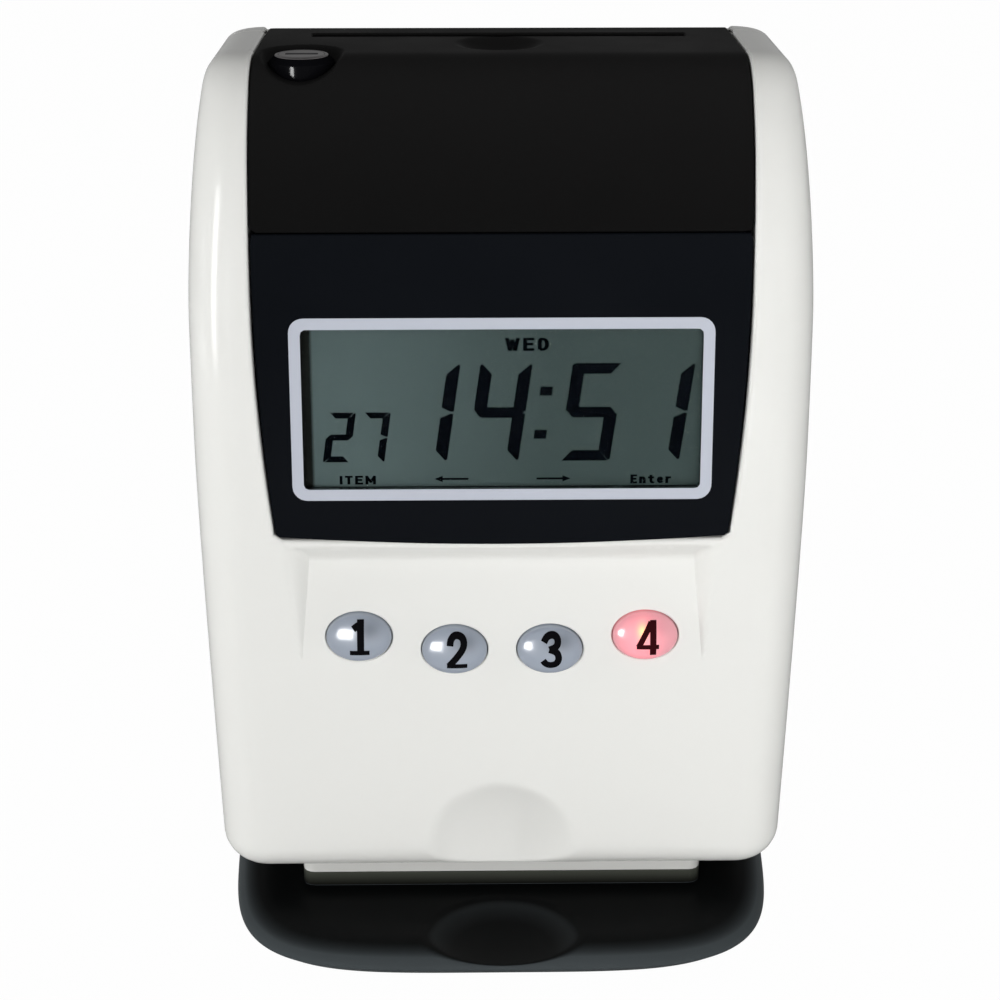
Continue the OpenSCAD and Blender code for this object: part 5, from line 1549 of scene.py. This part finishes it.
def tray_outline(t, inset, count=420):
    """Superellipse outline of the tray, drawn in."""
    a = np.linspace(0, 2 * math.pi, 6000, endpoint=False) - math.pi / 2
    c, s = np.cos(a), np.sin(a)
    n = np.where(s < 0, 4.34, 6.0)
    b = np.where(s < 0, 64.4, 63.0)
    y = (b - inset) * np.sign(s) * np.abs(s) ** (2 / n)
    x = (t.width / 2 - inset - 4.0 * np.maximum(0, -y) / 64.4) * np.sign(c) * np.abs(c) ** (2 / n)
    return resample(np.stack([x, y], axis=1), count=count)


class CLOCK_OT_tray(bpy.types.Operator):
    """Build the dark tray with its finger scoop and raised seat"""
    bl_idname = "clock.tray"
    bl_label = "Tray"

    def execute(self, context):
        t = sizes("clock_tray")
        build = Build()
        flat = t.edge + 22.0
        quarter = np.linspace(0, math.pi / 2, 19)
        profile = [(inset, t.bottom + rise) for inset, rise in (
            (4.0, 0.0), (3.7, 0.04), (3.3, 0.2), (2.3, 0.9), (1.2, 1.9), (0.4, 2.8))]
        profile += [(t.edge * (1 - math.cos(a)), t.belly + (t.deck - t.belly) * math.sin(a)) for a in quarter]
        profile += [(i, t.deck) for i in np.arange(t.edge + 0.8, flat, 0.8)]
        rows = self.rings(build, t, profile, 0.0)
        build.fan(rows[-1], (0, 5, t.deck), (0, 0, 1))
        under = [(4.0, t.bottom), (4.0 + t.wall, t.bottom), (3.4 + t.wall, t.bottom + 1.5)]
        under += [(t.wall + t.edge * (1 - math.cos(a)), t.belly + (t.deck - t.wall - t.belly) * math.sin(a))
                  for a in quarter[3:]]
        under += [(i, t.deck - t.wall) for i in np.arange(t.edge + t.wall + 1.5, flat, 1.5)]
        low = self.rings(build, t, under, -t.wall, -1)
        build.fan(low[-1][::-1], (0, 5, t.deck - t.wall), (0, 0, -1))
        prism(build, box_loop(*PLINTH), t.deck - 0.3, t.seat, 0.3)
        make_object("tray_shell", build, tray_charcoal(), "housing", ["base_tray"])
        return {"FINISHED"}

    def rings(self, build, t, profile, lower, way=1):
        """Closed bands between outlines, pressed in by the finger scoop."""
        ball = dish_radius(t.scoop, t.scoop_depth)
        rings = []
        for inset, z in profile:
            plan = tray_outline(t, inset)
            d2 = plan[:, 0] ** 2 + (plan[:, 1] + 59) ** 2
            dish = t.deck - t.scoop_depth + ball - np.sqrt(np.maximum(0.01, ball ** 2 - d2))
            level = smooth_min(np.full(len(plan), z), np.where(d2 < 700, dish + lower, NO_CUT), 0.7)
            rings.append(np.column_stack([plan, np.maximum(level, t.bottom)]))
        grid = np.array(rings)
        around = np.roll(grid, -1, axis=1) - np.roll(grid, 1, axis=1)
        normals = unit_rows(np.cross(around, np.gradient(grid, axis=0))) * way
        rows = [build.add(p, n) for p, n in zip(grid, normals)]
        for a, b in zip(rows, rows[1:]):
            build.strip(a, b) if way > 0 else build.strip(b, a)
        return rows


class CLOCK_OT_floor_plate(bpy.types.Operator):
    """Build the white floor plate with the step that stands on the tray"""
    bl_idname = "clock.floor_plate"
    bl_label = "Floor plate"

    def execute(self, context):
        build = Build()
        prism(build, box_loop(*PLINTH), 15.0, 18.05, 0.25)
        prism(build, box_loop(-59, -24, 59, 50, 4.0, 2.0), 18.0, 21.0, 0.3)
        prism(build, box_loop(-64, -28.8, 64, 55.4, 4.0, 2.0), 21.0, 24.0, 0.3)
        plinth = make_object("floor_shell", build, housing_white(), "housing", ["floor_plate"])
        aim_lamp("right_fill", [plinth], "EXCLUDE")
        return {"FINISHED"}


# Repeated fasteners

def node_group(name, inputs):
    """A Geometry Nodes tree with named inputs, and its two ends."""
    tree = bpy.data.node_groups.new(name, "GeometryNodeTree")
    for label, kind in inputs:
        tree.interface.new_socket(label, in_out="INPUT", socket_type="NodeSocket" + kind)
    tree.interface.new_socket("Geometry", in_out="OUTPUT", socket_type="NodeSocketGeometry")
    return tree, tree.nodes.new("NodeGroupInput"), tree.nodes.new("NodeGroupOutput")


def scatter_tree():
    """Sets a piece on every point, each turned about an axis by its own angle."""
    tree, inp, out = node_group("set_on_points", (
        ("Points", "Geometry"), ("Piece", "Object"), ("Finish", "Material"), ("Size", "Float"),
        ("Axis", "Vector"), ("Turn", "Float"), ("Seed", "Int")))
    link = tree.links.new
    info = tree.nodes.new("GeometryNodeObjectInfo")
    link(inp.outputs["Piece"], info.inputs["Object"])
    angle = tree.nodes.new("FunctionNodeRandomValue")
    angle.data_type = "FLOAT"
    link(inp.outputs["Turn"], angle.inputs[3])
    link(inp.outputs["Seed"], angle.inputs["Seed"])
    turn = tree.nodes.new("ShaderNodeVectorMath")
    turn.operation = "SCALE"
    link(inp.outputs["Axis"], turn.inputs[0])
    link(angle.outputs[1], turn.inputs["Scale"])
    put = tree.nodes.new("GeometryNodeInstanceOnPoints")
    link(inp.outputs["Points"], put.inputs["Points"])
    link(info.outputs["Geometry"], put.inputs["Instance"])
    link(turn.outputs[0], put.inputs["Rotation"])
    link(inp.outputs["Size"], put.inputs["Scale"])
    real = tree.nodes.new("GeometryNodeRealizeInstances")
    link(put.outputs[0], real.inputs[0])
    paint = tree.nodes.new("GeometryNodeSetMaterial")
    link(real.outputs[0], paint.inputs["Geometry"])
    link(inp.outputs["Finish"], paint.inputs["Material"])
    link(paint.outputs[0], out.inputs[0])
    return tree


def scattered(name, build, points, axis, turn, material, body, nodes):
    """One mesh with a copy of the small piece at each point."""
    piece = bpy.data.objects.new(name + "_one", bpy.data.meshes.new(name + "_one"))
    piece.data.from_pydata((np.concatenate(build.points) * MM).tolist(), [], build.faces)
    piece.data.polygons.foreach_set("use_smooth", [True] * len(piece.data.polygons))
    piece.data.normals_split_custom_set_from_vertices(unit_rows(np.concatenate(build.normals)).tolist())
    mesh = bpy.data.meshes.new(name)
    mesh.from_pydata([tuple(c * MM for c in p) for p in points], [], [])
    obj = bpy.data.objects.new(name, mesh)
    for o in (obj, piece):
        bpy.context.scene.collection.objects.link(o)
    tree = bpy.data.node_groups.get("set_on_points") or scatter_tree()
    mod = obj.modifiers.new("set", "NODES")
    mod.node_group = tree
    values = {"Piece": piece, "Finish": material, "Size": 1.0, "Axis": axis, "Turn": turn, "Seed": 7}
    for item in tree.interface.items_tree:
        if item.in_out == "INPUT" and item.name in values:
            mod[item.identifier] = values[item.name]
    done = bpy.data.meshes.new_from_object(obj.evaluated_get(bpy.context.evaluated_depsgraph_get()))
    obj.modifiers.remove(mod)
    obj.data = done
    done.name = name
    bpy.data.objects.remove(piece)
    if not done.polygons:
        raise RuntimeError(name + " came out empty")
    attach(obj, body)
    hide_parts(*nodes)
    return obj


def screw(head_r, head_h, shaft_r, length, up):
    """Pan head screw with a cross recess, head top at the origin and facing up."""
    up = np.asarray(up, float)
    side = np.array([1.0, 0.0, 0.0])
    other = np.cross(up, side)
    flat = lambda s, t: np.outer(s, side) + np.outer(t, other)
    arm, w = head_r * 0.52, head_r * 0.13
    cross = round_corners([(w, w), (w, arm), (-w, arm), (-w, w), (-arm, w), (-arm, -w), (-w, -w), (-w, -arm),
                           (w, -arm), (w, -w), (arm, -w), (arm, w)], 0.08, 2)
    top = shell(flat, ellipse_loop(0, 0, head_r * 0.72, head_r * 0.72, 40), [cross],
                grid_seeds((-3, -3), (3, 3), (0.6, 0.6)), 0.5, [(0.02, head_h * 0.9), (0.04, head_h * 0.8)],
                False)
    crown = [(head_r * (0.715 + 0.285 * math.sin(a)), -head_h * 0.75 * (1 - math.cos(a)))
             for a in np.linspace(0, math.pi / 2, 7)]
    neck, under, pitch = head_r * 0.71, -head_h * 0.95, 0.45
    thread = [(shaft_r * (1.0 if k % 2 else 0.8), -head_h - 0.3 - pitch * k)
              for k in range(int((length - 1) / pitch))]
    profile = ([(0.02, under), (neck, under), (neck, under)] + crown
               + [(head_r, -head_h), (head_r, -head_h), (shaft_r, -head_h), (shaft_r, -head_h)]
               + thread + [(0.02, -head_h - length)])
    return rod_lathe(top, (0, 0, 0), up, profile[::-1], 40)


class CLOCK_OT_fasteners(bpy.types.Operator):
    """Build the rubber feet and the screws"""
    bl_idname = "clock.fasteners"
    bl_label = "Feet and screws"

    def execute(self, context):
        foot, r = Build(), 7.0
        rod_lathe(foot, (0, 0, 0), (0, 0, 1), [
            (0.02, 0.5), (4.6, 0.5), (5.0, 0.25), (5.3, 0.0), (6.3, 0.0), (6.8, 0.15), (r, 0.6), (r, 2.6),
            (r - 0.1, 3.0), (0.02, 3.0)], 64)
        turn, head_h, shaft_r = 6.0, 2.0, 1.5
        scattered("feet", foot, FEET, (0, 0, 1), turn, slot_finish("foot_rubber"), "housing", ["rubber_feet"])
        lo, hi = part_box("base_screws")
        head_r = (hi[0] - lo[0]) / MM / 2 - BASE_SCREWS[-1][0]
        base = screw(head_r, head_h, shaft_r, (hi[2] - lo[2]) / MM - head_h, (0, 0, -1))
        at = [(x, y, lo[2] / MM) for x, y in BASE_SCREWS]
        scattered("tray_screws", base, at, (0, 0, 1), turn, slot_finish("screw_steel"), "housing",
                  ["base_screws"])
        lo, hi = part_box("housing_screws")
        rear = screw(head_r, head_h, shaft_r, (hi[1] - lo[1]) / MM - head_h, (0, 1, 0))
        at = [(x, hi[1] / MM, z) for x, z in SHELL_SCREWS]
        scattered("shell_screws", rear, at, (0, 1, 0), turn, slot_finish("screw_steel"), "housing",
                  ["housing_screws"])
        return {"FINISHED"}


class CLOCK_OT_inner_parts(bpy.types.Operator):
    """Give the parts inside the clock their finishes"""
    bl_idname = "clock.inner_parts"
    bl_label = "Inner parts"

    def execute(self, context):
        slots = {s["node"]: s["material_slot"] for s in frame["record"]["subparts"]}
        for name, obj in frame["nodes"].items():
            if slots[name] in ("lens_clear", "lcd_grey", "key_grey", "key_red"):
                continue
            mat = slot_finish(slots[name])
            obj.data.materials.clear()
            obj.data.materials.append(mat)
        return {"FINISHED"}


# Stage: each lamp's name, width and height, place, target, power in watts and the rays that don't see it

MIDDLE = (0, 0, 0.12)
LAMPS = (
    ("key_box", (0.46, 0.42), (-0.57, -1.30, 0.30), (0, 0, 0.09), 3.45, "visible_glossy"),
    ("strip_left", (0.22, 0.36), (-1.1, -0.12, 0.10), MIDDLE, 4.7, "visible_glossy"),
    ("right_fill", (0.4, 0.4), (0.20, -1.0, 0.21), MIDDLE, 1.95, "visible_glossy"),
    ("right_beam", (0.1, 0.3), (0.32, -0.95, 0.30), (0.115, -0.03, 0.165), 0.0158, "visible_glossy"),
    ("rear_right", (0.4, 0.4), (0.7, 0.3, 0.9), MIDDLE, 0.8, "visible_glossy"),
    ("low_front", (0.8, 0.1), (0.05, -0.8, 0.07), (0, 0, 0.03), 0.95, "visible_glossy"),
    ("lock_glint", (0.10, 0.12), (-0.30, -0.435, 0.144), (-0.048, -0.002, 0.222), 5.0, "visible_diffuse"),
    ("edge_strip", (0.22, 0.52), (-0.864, -0.646, 0.29), MIDDLE, 3.0, "visible_diffuse"),
    ("key_glint", (0.075, 0.06), (-0.10, -0.205, 0.128), (0, -0.04, 0.086), 0.26, "visible_diffuse"),
)
BEAM_SPREAD = math.radians(16)


def aim_lamp(lamp, objects, state):
    """Lets a lamp reach only some pieces, or all but some."""
    reach = bpy.data.collections.new(lamp + "_reach")
    for obj in objects:
        reach.objects.link(obj)
    bpy.data.objects[lamp].light_linking.receiver_collection = reach
    for entry in reach.collection_objects:
        entry.light_linking.link_state = state


def lamp(name, size, place, target, power):
    """An area lamp that faces a target."""
    data = bpy.data.lights.new(name, "AREA")
    data.shape = "RECTANGLE"
    data.size, data.size_y = size
    data.energy = power
    obj = bpy.data.objects.new(name, data)
    obj.location = place
    obj.rotation_euler = (Vector(target) - Vector(place)).to_track_quat("-Z", "Y").to_euler()
    bpy.context.scene.collection.objects.link(obj)
    return obj


class CLOCK_OT_stage(bpy.types.Operator):
    """Set up the camera, the lamps, the floor and the backdrop"""
    bl_idname = "clock.stage"
    bl_label = "Stage"

    def execute(self, context):
        scene, st = context.scene, context.scene.clock_stage
        scene.view_settings.view_transform = "Standard"
        cam = bpy.data.cameras.new("camera")
        cam.lens, cam.sensor_width = st.lens, 36.0
        cam.clip_start, cam.clip_end = 0.01, 50.0
        obj = bpy.data.objects.new("camera", cam)
        obj.location = (st.camera_x, st.camera_y, st.camera_z)
        obj.rotation_euler = (math.pi / 2 - st.pitch, 0, -st.yaw)
        scene.collection.objects.link(obj)
        scene.camera = obj
        for name, size, place, target, power, unseen in LAMPS:
            setattr(lamp(name, size, place, target, power), unseen, False)
        bpy.data.lights["key_box"].energy *= st.key_light
        bpy.data.lights["right_beam"].spread = BEAM_SPREAD
        self.world(scene, st)
        self.floor(scene)
        return {"FINISHED"}

    def world(self, scene, st):
        """Even light that fades overhead and behind, with white behind the clock."""
        world = bpy.data.worlds.new("studio")
        scene.world = world
        world.use_nodes = True
        tree = world.node_tree
        tree.nodes.clear()
        path = tree.nodes.new("ShaderNodeLightPath")
        white, room = tree.nodes.new("ShaderNodeBackground"), tree.nodes.new("ShaderNodeBackground")
        for node in (white, room):
            node.inputs[0].default_value = (1, 1, 1, 1)
        way = add(tree, "SeparateXYZ", add(tree, "TexCoord").outputs["Generated"])
        overhead = spread(tree, way.outputs["Z"], 0.1, 0.9, st.fill, st.fill * 0.25)
        behind = spread(tree, way.outputs["Y"], 0.1, 0.8, 1.0, 0.5)
        feed(tree, room.inputs[1], add(tree, "Math", overhead, behind, operation="MULTIPLY").outputs[0])
        mix, out = tree.nodes.new("ShaderNodeMixShader"), tree.nodes.new("ShaderNodeOutputWorld")
        for a, b in ((path.outputs["Is Camera Ray"], mix.inputs[0]), (room.outputs[0], mix.inputs[1]),
                     (white.outputs[0], mix.inputs[2]), (mix.outputs[0], out.inputs[0])):
            tree.links.new(a, b)

    def floor(self, scene):
        """Pale floor that shows white to the camera and keeps the clock's shadow."""
        size = 4.0
        corners = [(-size, -size, 0), (size, -size, 0), (size, size, 0), (-size, size, 0)]
        mesh = bpy.data.meshes.new("floor")
        mesh.from_pydata(corners, [], [(0, 1, 2, 3)])
        mat, tree, bsdf, out = new_shader("floor_pale")
        bsdf.inputs["Base Color"].default_value = (0.78, 0.78, 0.78, 1)
        bsdf.inputs["Roughness"].default_value = 0.9
        bsdf.inputs["Specular IOR Level"].default_value = 0.0
        glow = add(tree, "Emission", (1, 1, 1, 1), 1.0)
        path = add(tree, "LightPath")
        share = add(tree, "Math", path.outputs["Is Camera Ray"], 0.985, operation="MULTIPLY").outputs[0]
        mix = add(tree, "MixShader", share, bsdf.outputs[0], glow.outputs[0])
        tree.links.new(mix.outputs[0], out.inputs["Surface"])
        mesh.materials.append(mat)
        obj = bpy.data.objects.new("floor", mesh)
        scene.collection.objects.link(obj)


OPERATORS = (CLOCK_OT_stage, CLOCK_OT_inner_parts, CLOCK_OT_front_housing, CLOCK_OT_rear_cover,
             CLOCK_OT_top_cover, CLOCK_OT_lock, CLOCK_OT_display_panel, CLOCK_OT_display, CLOCK_OT_keys,
             CLOCK_OT_tray, CLOCK_OT_floor_plate, CLOCK_OT_fasteners)


class CLOCK_PT_panel(bpy.types.Panel):
    """Sizes, colours and building steps of the time clock"""
    bl_idname = "CLOCK_PT_panel"
    bl_label = "Time clock"
    bl_space_type = "VIEW_3D"
    bl_region_type = "UI"
    bl_category = "Time clock"

    def draw(self, context):
        for operator in OPERATORS:
            self.layout.operator(operator.bl_idname)
        for name, group in GROUPS.items():
            box = self.layout.box()
            box.label(text=name.replace("clock_", "").capitalize())
            for key in group.__annotations__:
                box.prop(getattr(context.scene, name), key)


def register():
    for cls in (*GROUPS.values(), *OPERATORS, CLOCK_PT_panel):
        bpy.utils.register_class(cls)
    for name, group in GROUPS.items():
        setattr(bpy.types.Scene, name, bpy.props.PointerProperty(type=group))


def unregister():
    for name in GROUPS:
        delattr(bpy.types.Scene, name)
    for cls in reversed((*GROUPS.values(), *OPERATORS, CLOCK_PT_panel)):
        bpy.utils.unregister_class(cls)


def main():
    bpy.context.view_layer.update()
    register()
    for operator in OPERATORS:
        step = operator.bl_idname.split(".")[1]
        if getattr(bpy.ops.clock, step)() != {"FINISHED"}:
            raise RuntimeError(step + " did not finish")


if __name__ == "__main__":
    main()
